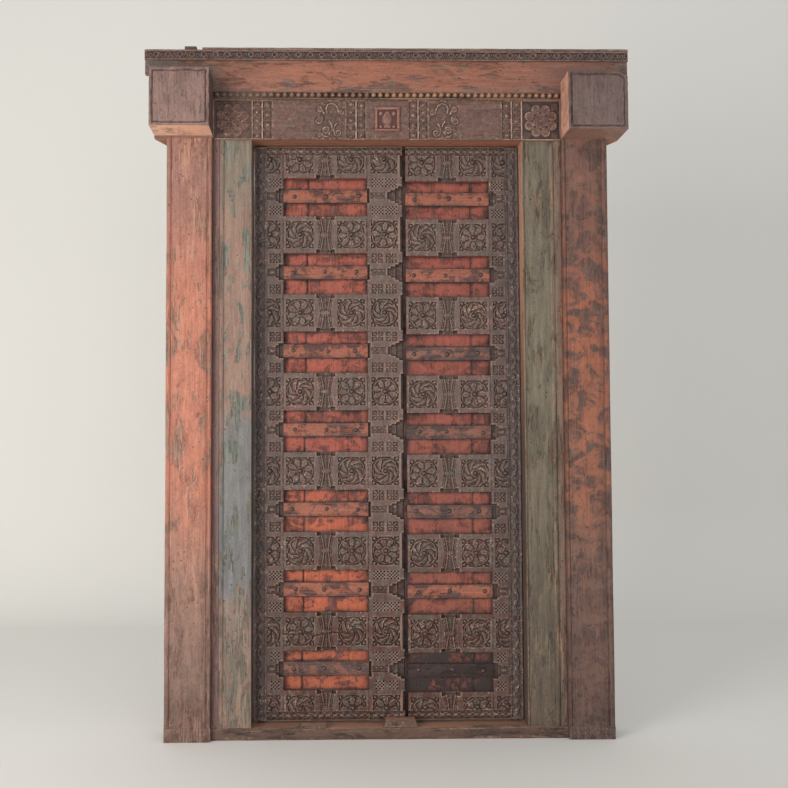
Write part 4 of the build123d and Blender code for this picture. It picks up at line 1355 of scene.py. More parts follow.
    @staticmethod
    def _leaf_paints() -> list[Any]:
        """Return the finishes of both leaves."""
        return [
            CarvedTimber(
                "leaf_carving"),
            CarvedTimber(
                "stile_carving", high_tone=tone(88, 69, 64), low_tone=tone(78, 54, 47),
                slate=tone(76, 68, 65), red=tone(96, 64, 55), crest_tone=tone(124, 102, 92)),
            CarvedTimber(
                "leaf_edge_carving", high_tone=tone(82, 68, 65), low_tone=tone(80, 62, 56),
                hollow=tone(44, 34, 33), slate=tone(72, 66, 66), red=tone(84, 62, 56),
                crest_tone=tone(112, 94, 86), darkest=0.6, flecks=1.0),
            PaintedTimber(
                "plank_paint_left", Grain.UPRIGHT, ((50, (158, 82, 54)), (650, (170, 84, 52)),
                (1000, (150, 72, 56)), (1400, (148, 72, 56)), (2084, (148, 74, 56))),
                bare=tone(92, 68, 66), patch=tone(132, 66, 50), shade=tone(50, 32, 30),
                bare_from=0.538, patch_from=0.52, stretch=0.8, grain_lines=0.15, blotch=0.9),
            PaintedTimber(
                "plank_paint_right", Grain.UPRIGHT, ((50, (44, 30, 28)), (290, (44, 30, 28)),
                (420, (132, 70, 54)), (1400, (136, 66, 52)), (2084, (140, 70, 54))),
                bare=tone(82, 60, 57), patch=tone(122, 62, 48), shade=tone(46, 30, 28),
                bare_from=0.54, patch_from=0.535, stretch=0.8, grain_lines=0.15, blotch=0.9),
            # The battens' downward faces are painted dark as painted shade
            PaintedTimber(
                "batten_paint", Grain.ACROSS, ((-470, (144, 84, 64)), (0, (146, 84, 64)),
                (470, (142, 82, 62))), bare=tone(84, 66, 64), patch=tone(122, 70, 54),
                grain_lines=0.25, bare_from=0.545, stretch=1.0, blotch=0.8,
                under=tone(92, 60, 52)),
            PaintedTimber(
                "batten_paint_worn", Grain.ACROSS, ((-470, (126, 80, 64)), (0, (124, 80, 66)),
                (470, (124, 78, 62))), bare=tone(76, 62, 60), patch=tone(92, 70, 66),
                grain_lines=0.25, bare_from=0.515, patch_from=0.51, stretch=1.3,
                under=tone(78, 54, 48)),
            PaintedTimber(
                "batten_paint_dark", Grain.ACROSS, ((-470, (56, 38, 34)), (0, (54, 37, 33)),
                (470, (50, 34, 31))), bare=tone(46, 33, 31), patch=tone(84, 46, 38),
                grain_lines=0.25, bare_from=0.52, patch_from=0.575, stretch=1.3,
                under=tone(46, 34, 32)),
        ]


@dataclass
class OuterFrame:
    """Posts, bases, jambs and threshold."""

    finishes: dict[str, bpy.types.Material]
    outer_bead: float = 18.0
    outer_groove: float = 5.0
    inner_bead: float = 12.0
    inner_groove: float = 5.0
    groove_depth: float = 4.0
    jamb_strip: float = 24.0
    jamb_bead: float = 17.0
    jamb_edge_bead: float = 9.0
    panel_sink: float = 4.0
    strip_sink: float = 2.0
    tenon_width: float = 43.0
    tenon_depth: float = 50.0
    tenon_setback: float = 20.0

    def build(self) -> list[bpy.types.Object]:
        """Build every piece of the frame below the header."""
        made = []
        for side, name in ((-1, "left"), (1, "right")):
            made += [self._post(side, name), self._tenon(name), self._base(name),
                     self._jamb(side, name)]
        return made + [self._threshold(), self._stop(), self._chip()]

    def _post(self, side: int, name: str) -> bpy.types.Object:
        """Build an outer post with its edge beads."""
        box = Box.of(f"outer_post_{name}")
        low, high = Box.of(f"post_base_{name}").z1, Box.of("header_beam").z0
        bar = Moulding(f"post_{name}", low, high, True)
        outer, inner = (box.x0, box.x1) if side < 0 else (box.x1, box.x0)
        way = 1 if side < 0 else -1
        face, sunk = box.y0, box.y0 + self.groove_depth
        places = [
            ("bead", outer, outer + way * self.outer_bead),
            ("groove", outer + way * self.outer_bead,
             outer + way * (self.outer_bead + self.outer_groove)),
            ("flat", outer + way * (self.outer_bead + self.outer_groove),
             inner - way * (self.inner_bead + self.inner_groove)),
            ("groove", inner - way * (self.inner_bead + self.inner_groove),
             inner - way * self.inner_bead),
            ("bead", inner - way * self.inner_bead, inner),
        ]
        self._front(bar, places if side < 0 else [(kind, end, start) for kind, start, end
                                                  in reversed(places)], face, sunk)
        bar.to(box.x1, box.y1, 0.7)
        bar.to(box.x0, box.y1, 0.7)
        piece = bar.piece(self.finishes[f"post_paint_{name}"], 11 if side < 0 else 17)
        return claim(piece, "frame", f"outer_post_{name}")

    @staticmethod
    def _front(bar: Moulding, places: Sequence[tuple[str, float, float]], face: float,
               sunk: float) -> None:
        """Lay beads, grooves and flats from left to right along a front.

        Args:
            bar: The bar that gets them.
            places: Kind, start and end of each stretch.
            face: Depth of the face.
            sunk: Depth of the grooves.
        """
        for kind, start, end in places:
            if kind == "bead":
                rise = min(abs(end - start) / 2, sunk - face + 1.0)
                bar.bead((start, face + rise), (end, face + rise), rise)
            elif kind == "groove":
                bar.to(start + 0.8, sunk, 0.0)
                bar.to(end - 0.8, sunk, 0.0)
            elif kind == "sunk":
                bar.to(start + 0.8, sunk, 0.0)
                bar.to(end - 0.8, sunk, 0.0)
            else:
                bar.to(start, face, 0.8)
                bar.to(end, face, 0.8)

    def _tenon(self, name: str) -> bpy.types.Object:
        """Build the tenon that locks the lintel to a post."""
        box = Box.of(f"outer_post_{name}")
        front = box.y0 + self.tenon_setback
        bar = Moulding(f"post_tenon_{name}", Box.of("header_beam").z0, box.z1, True, 60.0)
        for x, y in ((box.x - self.tenon_width / 2, front), (box.x + self.tenon_width / 2, front),
                     (box.x + self.tenon_width / 2, front + self.tenon_depth),
                     (box.x - self.tenon_width / 2, front + self.tenon_depth)):
            bar.to(x, y, 1.0)
        piece = bar.piece(self.finishes["threshold_timber"], 23, 0.8)
        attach(piece, "frame")
        return piece

    def _base(self, name: str) -> bpy.types.Object:
        """Build the base piece of a post."""
        node = f"post_base_{name}"
        box = Box.of(node)
        outline = ((box.x0, box.z0), (box.x1, box.z0), (box.x1, box.z1), (box.x0, box.z1))
        piece = prism(node, outline, box.y0, box.y1, 2.2, self.finishes[f"post_paint_{name}"], 29)
        return claim(piece, "frame", node)

    def _jamb(self, side: int, name: str) -> bpy.types.Object:
        """Build an inner jamb: strip, bead, sunk panel and edge bead."""
        node = f"inner_jamb_{name}"
        box = Box.of(node)
        bar = Moulding(f"jamb_{name}", box.z0, box.z1, True)
        start, way = (box.x0, 1) if side < 0 else (box.x1, -1)
        sizes = (("strip", self.jamb_strip), ("bead", self.jamb_bead),
                 ("sunk", box.width - self.jamb_strip - self.jamb_bead - self.jamb_edge_bead),
                 ("bead", self.jamb_edge_bead))
        places, place = [], start
        for kind, width in sizes:
            places.append((kind, place, place + way * width))
            place += way * width
        if side > 0:
            places = [(kind, end, begin) for kind, begin, end in reversed(places)]
        for kind, begin, end in places:
            if kind == "strip":
                bar.to(begin, box.y0 + self.strip_sink, 0.5)
                bar.to(end, box.y0 + self.strip_sink, 0.1)
            else:
                self._front(bar, [(kind, begin, end)], box.y0, box.y0 + self.panel_sink)
        bar.to(box.x1, box.y1, 0.6)
        bar.to(box.x0, box.y1, 0.6)
        piece = bar.piece(self.finishes[f"jamb_paint_{name}"], 31 if side < 0 else 37, 1.3, 1.6)
        return claim(piece, "frame", node)

    def _threshold(self) -> bpy.types.Object:
        """Build the threshold beam with a trodden top."""
        box = Box.of("threshold")
        bar = Moulding("threshold_beam", box.x0, box.x1, False, 24.0)
        for y, z in ((box.y0, box.z0), (box.y1, box.z0), (box.y1, box.z1), (box.y0, box.z1)):
            bar.to(y, z, 0.9)
        piece = bar.piece(self.finishes["threshold_timber"], 41, 2.0, 3.5)
        return claim(piece, "frame", "threshold")

    def _stop(self, slope: float = 10.0) -> bpy.types.Object:
        """Build the raised stop in front of the meeting edges."""
        box = Box.of("threshold_stop")
        outline = ((box.x0, box.z0), (box.x1, box.z0), (box.x1 - slope, box.z1),
                   (box.x0 + slope, box.z1))
        piece = prism("meeting_stop", outline, box.y0, box.y1, 3.0,
                      self.finishes["threshold_timber"], 43)
        return claim(piece, "frame", "threshold_stop")

    def _chip(self, slope: float = 17.0, broken: float = 3.0) -> bpy.types.Object:
        """Build the raised chip left of the stop."""
        box = Box.of("threshold_chip")
        outline = ((box.x0, box.z0), (box.x1, box.z0), (box.x1 - broken, box.z1),
                   (box.x0 + slope, box.z1))
        piece = prism("threshold_ridge", outline, box.y0, box.y1, 2.0,
                      self.finishes["threshold_timber"], 47)
        return claim(piece, "frame", "threshold_chip")


@dataclass
class Header:
    """Lintel, cornice, bead row, frieze and corner blocks."""

    finishes: dict[str, bpy.types.Material]
    bead_pitch: float = 24.0
    column_width: float = 36.0
    center_half: float = 74.0
    scroll_width: float = 110.0
    end_panel: float = 137.0
    groove_inset: float = 9.0
    groove_width: float = 5.0
    worn_corner: float = 34.0
    worn_drop: float = 18.0
    cornice_wave: float = 83.0
    lintel_end: tuple[float, float] = (86.0, 18.0)      # height and depth of the thin ends

    def build(self) -> list[bpy.types.Object]:
        """Build every piece of the header."""
        made = [self._lintel(), self._fillet(), self._cornice(), self._beads(), self._frieze(),
                self._medallion(), self._beam()]
        return made + [self._block(-1, "left"), self._block(1, "right")]

    def _bar(self, box: Box, name: str, arris: float, seed: int, finish: str,
             wear: float) -> bpy.types.Object:
        """Build a plain worn bar across the door, of a box's size."""
        bar = Moulding(name, box.x0, box.x1, False, 22.0)
        for y, z in ((box.y0, box.z0), (box.y1, box.z0), (box.y1, box.z1), (box.y0, box.z1)):
            bar.to(y, z, 0.9)
        return bar.piece(self.finishes[finish], seed, wear, arris)

    def _lintel(self) -> bpy.types.Object:
        """Build the lintel, whose front is the painted fascia and whose ends thin to a board."""
        box, block = Box.of("lintel"), Box.of("corner_block_right")
        body = Box(-block.x1, block.x1, box.y0, box.y1, box.z0, box.z1)
        parts = [self._bar(body, "lintel_beam", 3.0, 53, "lintel_paint", 1.6)]
        low, deep = box.z1 - self.lintel_end[0], box.y0 + self.lintel_end[1]
        for start, end in ((box.x0, -block.x1 + 4), (block.x1 - 4, box.x1)):
            outline = ((start, low), (end, low), (end, box.z1 - 0.6), (start, box.z1 - 0.6))
            parts.append(prism("lintel_end", outline, box.y0 + 0.6, deep, 2.5,
                               self.finishes["lintel_paint"], 57))
        return claim(joined(parts), "frame", "lintel")

    def _fillet(self) -> bpy.types.Object:
        """Build the thin strip along the top."""
        piece = self._bar(Box.of("top_fillet"), "top_strip", 1.6, 59, "fillet_timber", 1.2)
        return claim(piece, "frame", "top_fillet")

    def _beam(self) -> bpy.types.Object:
        """Give the header beam its paint; its own shape is right."""
        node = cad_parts["header_beam"]
        for slot in node.material_slots:
            slot.link = "OBJECT"
            slot.material = self.finishes["header_paint"]
        return node

    def _cornice(self) -> bpy.types.Object:
        """Carve the strip of leaf fans and hollows under the top."""
        box = Box.of("cornice_strip")
        board = Relief("cornice_carved", box, 2.0)
        board.dark_at = 4.6
        wave = self.cornice_wave
        local = ((board.x - box.x0) / wave + 0.5) % 1.0 * wave - wave / 2
        v = board.z - box.z0
        level = np.full_like(board.x, -4.6)
        for shift in (-1, 0, 1):
            u = local - shift * wave / 2
            lean = np.abs(u) - 0.55 * (v - 4)
            fan = 0.5 + 0.5 * np.cos(TURN * lean / 8.2)
            level = np.maximum(level, -4.6 + 3.4 * fan * soft(wave / 4 - np.abs(u), 2.0)
                               * soft(26 - v, 2.0))
            loop = np.hypot(u / 1.25, v - 19.5)
            level = np.where(loop < 9.5, -4.6, level)
            level = np.maximum(level, -4.6 + 4.0 * np.exp(-((loop - 7.2) / 2.0) ** 2))
            level = level - 2.2 * soft(4.2 - loop, 1.2)
        triangle = soft(7 - v - 1.4 * np.abs(np.abs(local) - wave / 4), 1.0)
        level = level - 2.0 * triangle
        band = board.block(box.x0 + 3, box.x1 - 3, box.z0 + 4, box.z1 - 7)
        board.level(band, np.clip(level, -7, 0))
        board.weather(61, 0.7, 1.6)
        piece = board.piece(self.finishes["cornice_carving"])
        return claim(piece, "frame", "cornice_strip")

    def _beads(self) -> bpy.types.Object:
        """Carve the row of half-round beads over a thin fillet."""
        box = Box.of("bead_row")
        board = Relief("bead_moulding", box, 1.6)
        board.dark_at = 20.0
        pitch = self.bead_pitch
        local = (board.x - box.x + pitch / 2) % pitch - pitch / 2
        u, v = local, board.z - box.z - 1.5
        ball = np.clip(1 - (u / 9.6) ** 2 - (v / 8.6) ** 2, 0, 1) ** 0.5
        level = -16.0 + 15.8 * ball
        fillet = soft(box.z0 + 3.6 - board.z, 0.8)
        level = level * (1 - fillet) - 5.0 * fillet
        top = soft(board.z - box.z1 + 2.8, 0.8)
        level = level * (1 - top) - 7.0 * top
        worn = soft(box.x0 + 210 - board.x, 40.0)
        level = level * (1 - 0.55 * worn) - 8.0 * 0.55 * worn
        board.level(np.ones_like(level), level)
        board.weather(67, 0.5, 0.6)
        piece = board.piece(self.finishes["bead_timber"], 40.0)
        return claim(piece, "frame", "bead_row")

    def _frieze(self) -> bpy.types.Object:
        """Carve the frieze board, panel by panel from its middle to its ends."""
        box = Box.of("frieze_board")
        board = Relief("frieze_carved", box, 2.3)
        board.dark_at = 4.8
        scroll_start = self.center_half + 2 * self.column_width
        end_start = box.x1 - self.end_panel
        for side in (-1, 1):
            for start in (self.center_half, end_start - 2 * self.column_width):
                for number in (0, 1):
                    middle = side * (start + (number + 0.5) * self.column_width)
                    self._column(board, box, middle, number)
            self._scrolls(board, box, side * (scroll_start + self.scroll_width / 2), side)
            self._corner_rosette(board, box, side * (end_start + self.end_panel / 2), side)
        board.weather(71, 0.8, 1.2)
        piece = board.piece(self.finishes["frieze_carving"])
        return claim(piece, "frame", "frieze_board")

    def _column(self, board: Relief, box: Box, x: float, number: int) -> None:
        """Carve one narrow column of stacked leaves and buds."""
        half = self.column_width / 2
        u, v = board.x - x, board.z - box.z0
        cell = box.height / (5 if number else 4)
        local = v % cell - cell / 2
        bud = soft(6.0 - np.hypot(u, local + 2), 1.6)
        ring = np.exp(-((np.hypot(u, local + 2) - 9.5) / 2.2) ** 2)
        bar = np.exp(-((np.abs(local) - cell / 2 + 2.5) / 2.2) ** 2)
        tooth = (0.5 + 0.5 * np.cos(TURN * u / 8)) * np.exp(-((local - cell / 2 + 7) / 2.5) ** 2)
        level = -4.0 + 3.6 * np.clip(np.maximum.reduce([bud, ring * 0.8, bar * 0.9, tooth]), 0, 1)
        board.level(board.block(x - half + 3, x + half - 3, box.z0 + 4, box.z1 - 4), level)

    def _scrolls(self, board: Relief, box: Box, x: float, side: int) -> None:
        """Carve the scrolls that curl off a short stem, as ridges on a lowered ground."""
        near = (np.abs(board.x - x) - self.scroll_width / 2 + 4, np.abs(board.z - box.z) - 62)
        board.level(soft(-np.maximum(*near), 6.0), -2.0)
        curls = (
            ((-40, 25), 11.0, -0.2, 1,
             ((-28, 36), (-20, 52), (-5, 60), (9, 54), (15, 40), (11, 24))),
            ((36, 37), 11.0, 1.8, -1, ((28, 32), (22, 22))),
            ((42, -3), 14.0, 1.6, 1, ((30, -8), (26, 4), (30, 12))),
            ((-27, -46), 14.0, 0.3, -1, ((-12, -40), (-14, -24), (-22, -14))),
            ((15, -38), 13.0, 2.4, -1, ((3, -50), (-8, -34), (-4, -16), (4, -4))),
            ((38, -54), 9.0, 2.6, 1, ((28, -52), (20, -60), (8, -62))),
        )
        ridges = []
        for (across, up), size, start, hand, tail in curls:
            spiral = []
            for number in range(25):
                turn = number / 24
                reach = size * (1 - 0.78 * turn)
                angle = start + hand * TURN * 1.35 * turn
                spiral.append((across + reach * math.cos(angle), up + reach * math.sin(angle)))
            path = [(x + side * u, box.z + v) for u, v in (*reversed(tail), *spiral)]
            ridges.append(path)
        for path in ridges:
            board.line(path, 12.0, -3.4, -3.4)
        for path in ridges:
            board.line(path, 6.6, 0.0, -2.6)
        for across, up, size in ((4, 15, 7.0), (0, 4, 5.0), (24, 58, 5.5)):
            rise = (board.z - box.z - up) * 0.8
            bud = soft(size - np.hypot(board.x - x - side * across, rise), 1.5)
            board.height = np.maximum(board.height, -4.2 + 3.8 * bud)

    def _corner_rosette(self, board: Relief, box: Box, x: float, side: int) -> None:
        """Carve the large rosette at an end of the frieze, worn down on the left."""
        u, v = board.x - x, board.z - box.z + 2
        radius, angle = np.hypot(u, v), np.arctan2(v, u) + math.pi / 8
        deep = 4.4 if side > 0 else 3.0
        level = np.full_like(u, -deep)
        leaf = soft(9 - np.hypot(np.abs(u) - 50, np.abs(v) - 52) * 0.7, 2.0)
        level = np.maximum(level, -deep + (deep - 2.5) * leaf)
        ring = np.clip(1 - ((radius - 59) / 2.8) ** 2, 0, 1) ** 0.5
        level = np.maximum(level, -deep + (deep - 3.4) * ring * (side > 0))
        beat = (angle + math.pi / 8) % (math.pi / 4) - math.pi / 8
        across, along = radius * np.sin(beat), radius * np.cos(beat)
        for reach, size, lift in ((43.0, 16.6, 0.4), (20.0, 10.0, 0.2)):
            spread = np.hypot(across, along - reach)
            petal = soft(size - spread, 1.2)
            bowl = lift + 1.0 * (1 - np.clip(spread / size, 0, 1) ** 2)
            level = level * (1 - petal) - bowl * petal
        button = soft(13 - radius, 1.2)
        level = level * (1 - button) - 0.8 * button
        dent = np.exp(-((radius - 8.5) / 1.4) ** 2)
        level = level - 2.4 * dent * button
        window = board.block(x - self.end_panel / 2 + 3, x + self.end_panel / 2 - 1,
                             box.z0 + 3, box.z1 - 2)
        board.level(window, np.clip(level, -deep, 0))

    def _medallion(self, frame_width: float = 9.0) -> bpy.types.Object:
        """Carve the square medallion: a bud on a foot between curled leaves."""
        box = Box.of("frieze_medallion")
        board = Relief("medallion_carved", box, 1.5)
        board.dark_at = 5.6
        u, v = board.x - box.x, board.z - box.z
        level = np.full_like(u, -5.4)
        swell = 19 * np.clip(1 - ((v - 1) / 27) ** 2, 0, 1) ** 0.6
        bud = np.clip(1 - (np.abs(u) / np.maximum(swell, 0.1)) ** 2, 0, 1) ** 0.5
        level = np.maximum(level, -5.4 + 5.0 * bud * (np.abs(v - 1) < 27))
        for across in (-23, 23):
            for up, size in ((21, 8.5), (-27, 6.0)):
                spread = np.hypot(u - across, v - up)
                dome = np.clip(1 - (spread / size) ** 2, 0, 1) ** 0.5
                level = np.maximum(level, -5.4 + 4.4 * dome)
        foot = soft(5 - np.abs(v + 27), 1.0) * soft(12 - np.abs(u), 1.0)
        level = np.maximum(level, -5.4 + 4.2 * foot)
        inner = board.block(box.x0 + frame_width, box.x1 - frame_width, box.z0 + frame_width,
                            box.z1 - frame_width)
        board.level(inner, level)
        board.weather(73, 0.5, 1.0)
        piece = board.piece(self.finishes["medallion_carving"])
        return claim(piece, "frame", "frieze_medallion")

    def _block(self, side: int, name: str) -> bpy.types.Object:
        """Build a corner block with a scribed face and rubbed edges."""
        node = f"corner_block_{name}"
        box = Box.of(node)
        board = Relief(f"corner_{name}", box, 3.0)
        inset, width = self.groove_inset, self.groove_width
        wobble = Unevenness(77 + side, 45.0).at(board.x, board.z) * 1.3
        inset = inset + wobble
        ring = (board.block(box.x0 + inset, box.x1 - inset, box.z0 + inset, box.z1 - inset, 1.5)
                - board.block(box.x0 + inset + width, box.x1 - inset - width,
                              box.z0 + inset + width, box.z1 - inset - width, 1.5))
        board.level(np.clip(ring, 0, 1), -5.0)
        if side < 0:
            split = np.abs(board.x - box.x0 - 68 - 1.5 * np.sin(board.z / 20))
            board.level(soft(0.6 - split, 1.5), -2.5)
        board.weather(79 if side < 0 else 83, 1.0, 2.6)
        top, outer = box.z1, box.x1

        def worn(points: Array) -> Array:
            """Lower the top edge towards the outer corner of the right block."""
            share = np.clip((points[:, 0] - outer + self.worn_corner) / self.worn_corner, 0, 1)
            lowered = (top - self.worn_drop * share - box.z0) / (top - box.z0)
            points[:, 2] = box.z0 + (points[:, 2] - box.z0) * lowered
            return points

        piece = board.piece(self.finishes[f"block_paint_{name}"], 35.0, worn if side > 0 else None)
        return claim(piece, "frame", node)


@dataclass
class Leaf:
    """One leaf: carved boards and battens over planks, with iron studs and nails."""

    side: int
    finishes: dict[str, bpy.types.Material]
    rail_count: int = 8
    batten_count: int = 7
    square_width: float = 117.0
    rosette_height: float = 67.0        # rosette centre from the lower edge of a full rail
    rosette_half: tuple[float, float] = (48.0, 48.0)
    strip_height: float = 33.0
    vine_pitch: float = 76.0
    lattice_half: tuple[float, float] = (21.0, 15.0)
    lattice_margin: float = 18.5        # middle of a small square from the nearest rail
    stile_notch: tuple[float, float] = (17.0, 52.0)
    notch_arm: tuple[float, float] = (57.0, 25.0)
    meeting_step: float = 8.0
    pair_offset: float = 25.0
    stud_radius: float = 10.0
    stud_height: float = 8.0
    nail_radius: float = 8.0
    nail_height: float = 4.0
    nail_spread: float = 114.0
    heel_radius: float = 22.0
    pivot_radius: float = 14.0
    face_board: float = 12.0
    cracked_rail: int = 6

    def __post_init__(self) -> None:
        """Read the leaf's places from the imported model."""
        self.name = "left" if self.side < 0 else "right"
        self.body = f"{self.name}_leaf"
        self.rails = [Box.of(f"{self.body}_rail_{number + 1}") for number in range(self.rail_count)]
        self.battens = [Box.of(f"{self.body}_batten_{number + 1}")
                        for number in range(self.batten_count)]
        self.centres = [rail.z0 + self.rosette_height for rail in self.rails]
        self.centres[-1] = self.rails[-1].z1 - self.rosette_height
        self.zones = [(rail.z0, rail.z1) for rail in self.rails]
        self.zones[0] = (self.rails[0].z0, self.rails[0].z1 - self.strip_height)
        self.zones[-1] = (self.rails[-1].z0 + self.strip_height, self.rails[-1].z1)

    def build(self) -> list[bpy.types.Object]:
        """Build every piece of the leaf."""
        made = [self._pivot_stile(), self._heel(), self._inner_stile(), self._planks()]
        if self.side < 0:
            made.append(self._meeting_stile())
        made += [self._rail(number) for number in range(self.rail_count)]
        made += [self._batten(number) for number in range(self.batten_count)]
        return made + [self._studs(), self._nails()]

    def _strip(self, board: Relief, box: Box, z: float) -> None:
        """Carve the running vine along the top or bottom of the leaf."""
        half = self.strip_height / 2 - 3
        mask = board.block(box.x0 + 2, box.x1 - 2, z - half, z + half)
        board.vine(board.x, board.z - z, half, self.vine_pitch * 0.62, mask, 8.0)

    def _strips(self, board: Relief, box: Box) -> None:
        """Carve the vine strips where the board reaches the leaf's top and bottom."""
        top, bottom = self.rails[0].z1, self.rails[-1].z0
        if box.z1 > top - 1:
            self._strip(board, box, top - self.strip_height / 2)
        if box.z0 < bottom + 1:
            self._strip(board, box, bottom + self.strip_height / 2)

    def _pivot_stile(self) -> bpy.types.Object:
        """Carve the board with the running vine along the hinge edge."""
        whole = Box.of(f"{self.body}_pivot_stile")
        low, high = self.rails[-1].z0, Box.of(f"{self.body}_planks").z1
        box = Box(whole.x0, whole.x1, whole.y0, whole.y0 + self.face_board, low, high)
        board = Relief(f"{self.body}_vine_board", box, 2.4)
        half = 16.0
        mask = board.block(box.x - half - 1, box.x + half + 1, low + 6, high - 6)
        board.vine(board.z, board.x - box.x, half, self.vine_pitch, mask)
        bead = np.abs(np.abs(board.x - box.x) - 19.0)
        board.height = np.minimum(board.height, -1.6 * soft(0.9 - bead, 1.2))
        board.weather(101 + self.side, edge_shade=0.6)
        piece = board.piece(self.finishes["leaf_edge_carving"])
        return claim(piece, self.body, f"{self.body}_pivot_stile")

    def _heel(self) -> bpy.types.Object:
        """Build the rounded heel behind the vine board, with the pivots it turns on."""
        whole = Box.of(f"{self.body}_pivot_stile")
        low, high = self.rails[-1].z0, Box.of(f"{self.body}_planks").z1
        bar = Moulding(f"{self.body}_heel", low, high, True, 60.0)
        front = whole.y0 + self.face_board
        middle_y = whole.y1 - self.heel_radius
        outer, inner = (whole.x0, whole.x1) if self.side < 0 else (whole.x1, whole.x0)
        middle_x = outer - self.side * self.heel_radius
        arc = [(middle_x + self.side * self.heel_radius * math.cos(turn),
                middle_y + self.heel_radius * math.sin(turn))
               for turn in np.linspace(0, math.pi / 2, 7)]
        ring = [(outer, front), *arc, (inner, whole.y1), (inner, front)]
        if self.side < 0:
            ring = ring[::-1]
        for x, y in ring:
            bar.to(x, y, 0.3)
        heel = bar.piece(self.finishes["leaf_edge_carving"], 107, 0.5, 1.0)
        parts = [heel]
        for start, end in ((whole.z0, low), (high, whole.z1)):
            pin = Moulding(f"{self.body}_pin", start, end, True, 50.0)
            for turn in np.arange(16) * TURN / 16:
                pin.to(middle_x + self.pivot_radius * math.cos(turn),
                       middle_y + self.pivot_radius * math.sin(turn), 0.0)
            parts.append(pin.piece(self.finishes["leaf_edge_carving"], 109, 0.0, 0.5))
        return claim(joined(parts), self.body, f"{self.body}_pivot_stile")

    def _small_square(self, board: Relief, x: float, z: float, field: int) -> None:
        """Carve the small square beside a field: pierced at the ends, flowers between."""
        if field in (0, self.batten_count - 2):
            board.lattice(x, z, self.lattice_half)
        elif field == self.batten_count - 1:
            board.lattice(x, z, (15.0, 15.0), 5, 5)
        else:
            board.daisy(x, z, (self.lattice_half[0] - 1, self.lattice_half[1] + 1))

    def _inner_stile(self) -> bpy.types.Object:
        """Carve the stile beside the rails: half rosettes, small squares and stepped notches."""
        node = f"{self.body}_inner_stile"
        box = Box.of(node)
        board = Relief(f"{self.body}_inner_carved", box)
        hinge, inner = (box.x0, box.x1) if self.side < 0 else (box.x1, box.x0)
        way = 1 if self.side < 0 else -1
        reach = (48.0, 50.0)
        for number, centre in enumerate(self.centres):
            bloom = Bloom.LOTUS if number % 2 else Bloom.WHORL
            board.rosette(hinge, centre, reach, bloom, 0.3 * number, self.zones[number])
        edge = board.block(min(hinge, hinge + way * 3), max(hinge, hinge + way * 3),
                           box.z0, box.z1)
        board.level(edge, -1.0)
        for number, batten in enumerate(self.battens):
            upper, lower = self.rails[number].z0, self.rails[number + 1].z1
            x = hinge + way * 31
            self._small_square(board, x, upper - self.lattice_margin, number)
            self._small_square(board, x, lower + self.lattice_margin, number)
            depth, height = self.stile_notch
            arm = board.block(*sorted((inner + way * 5, inner - way * self.notch_arm[0])),
                              batten.z - self.notch_arm[1] / 2,
                              batten.z + self.notch_arm[1] / 2, 4.0)
            board.level(arm, -7.5)
            steps = ((depth + 9, height * 0.72, 11.0), (depth, height, None))
            for wide, high, deep in steps:
                ends = sorted((inner, inner - way * wide))
                board.notch(ends[0] - (5 if way < 0 else 0), ends[1] + (5 if way > 0 else 0),
                            batten.z - high / 2, batten.z + high / 2, deep)
            bud = np.hypot((board.x - inner + way * 40) / 1.8, board.z - batten.z)
            board.level(soft(5.5 - bud, 2.4), -2.2)
        self._strips(board, box)
        board.weather(113 + self.side, edge_shade=0.6)
        piece = board.piece(self.finishes["stile_carving"])
        return claim(piece, self.body, node)

    def _meeting_stile(self) -> bpy.types.Object:
        """Carve the wide stile that covers the meeting edges."""
        node = f"{self.body}_meeting_stile"
        box = Box.of(node)
        board = Relief(f"{self.body}_meeting_carved", box)
        middle = box.x - 2
        for number, centre in enumerate(self.centres):
            bloom = Bloom.LOTUS if number % 2 else Bloom.WHORL
            board.rosette(middle, centre, (47.0, 49.0), bloom, 0.5 * number,
                          self.zones[number], 9.0)
            low, high = self.zones[number]
            board.notch(box.x1 - 7, box.x1 + 5, max(centre - 62, low), min(centre + 62, high), 21.0)
        for number, batten in enumerate(self.battens):
            upper, lower = self.rails[number].z0, self.rails[number + 1].z1
            for across in (-self.pair_offset, self.pair_offset):
                self._small_square(board, middle + across, upper - self.lattice_margin, number)
                self._small_square(board, middle + across, lower + self.lattice_margin, number)
            board.cartouche(middle - 22, batten.z, (26.0, 11.0))
            depth, height = self.stile_notch
            steps = ((depth + 36, height * 0.5, 10.0), (depth + 24, height * 0.75, 13.0),
                     (24.0, height, 21.0), (12.0, height + 2 * self.meeting_step, 21.0))
            for wide, high, deep in steps:
                board.notch(box.x1 - wide, box.x1 + 5, batten.z - high / 2,
                            batten.z + high / 2, deep)
            board.notch(box.x0 - 5, box.x0 + self.meeting_step, batten.z - height / 2,
                        batten.z + height / 2, 21.0)
        self._strips(board, box)
        board.weather(127, edge_shade=0.6)
        piece = board.piece(self.finishes["leaf_carving"])
        return claim(piece, self.body, node)

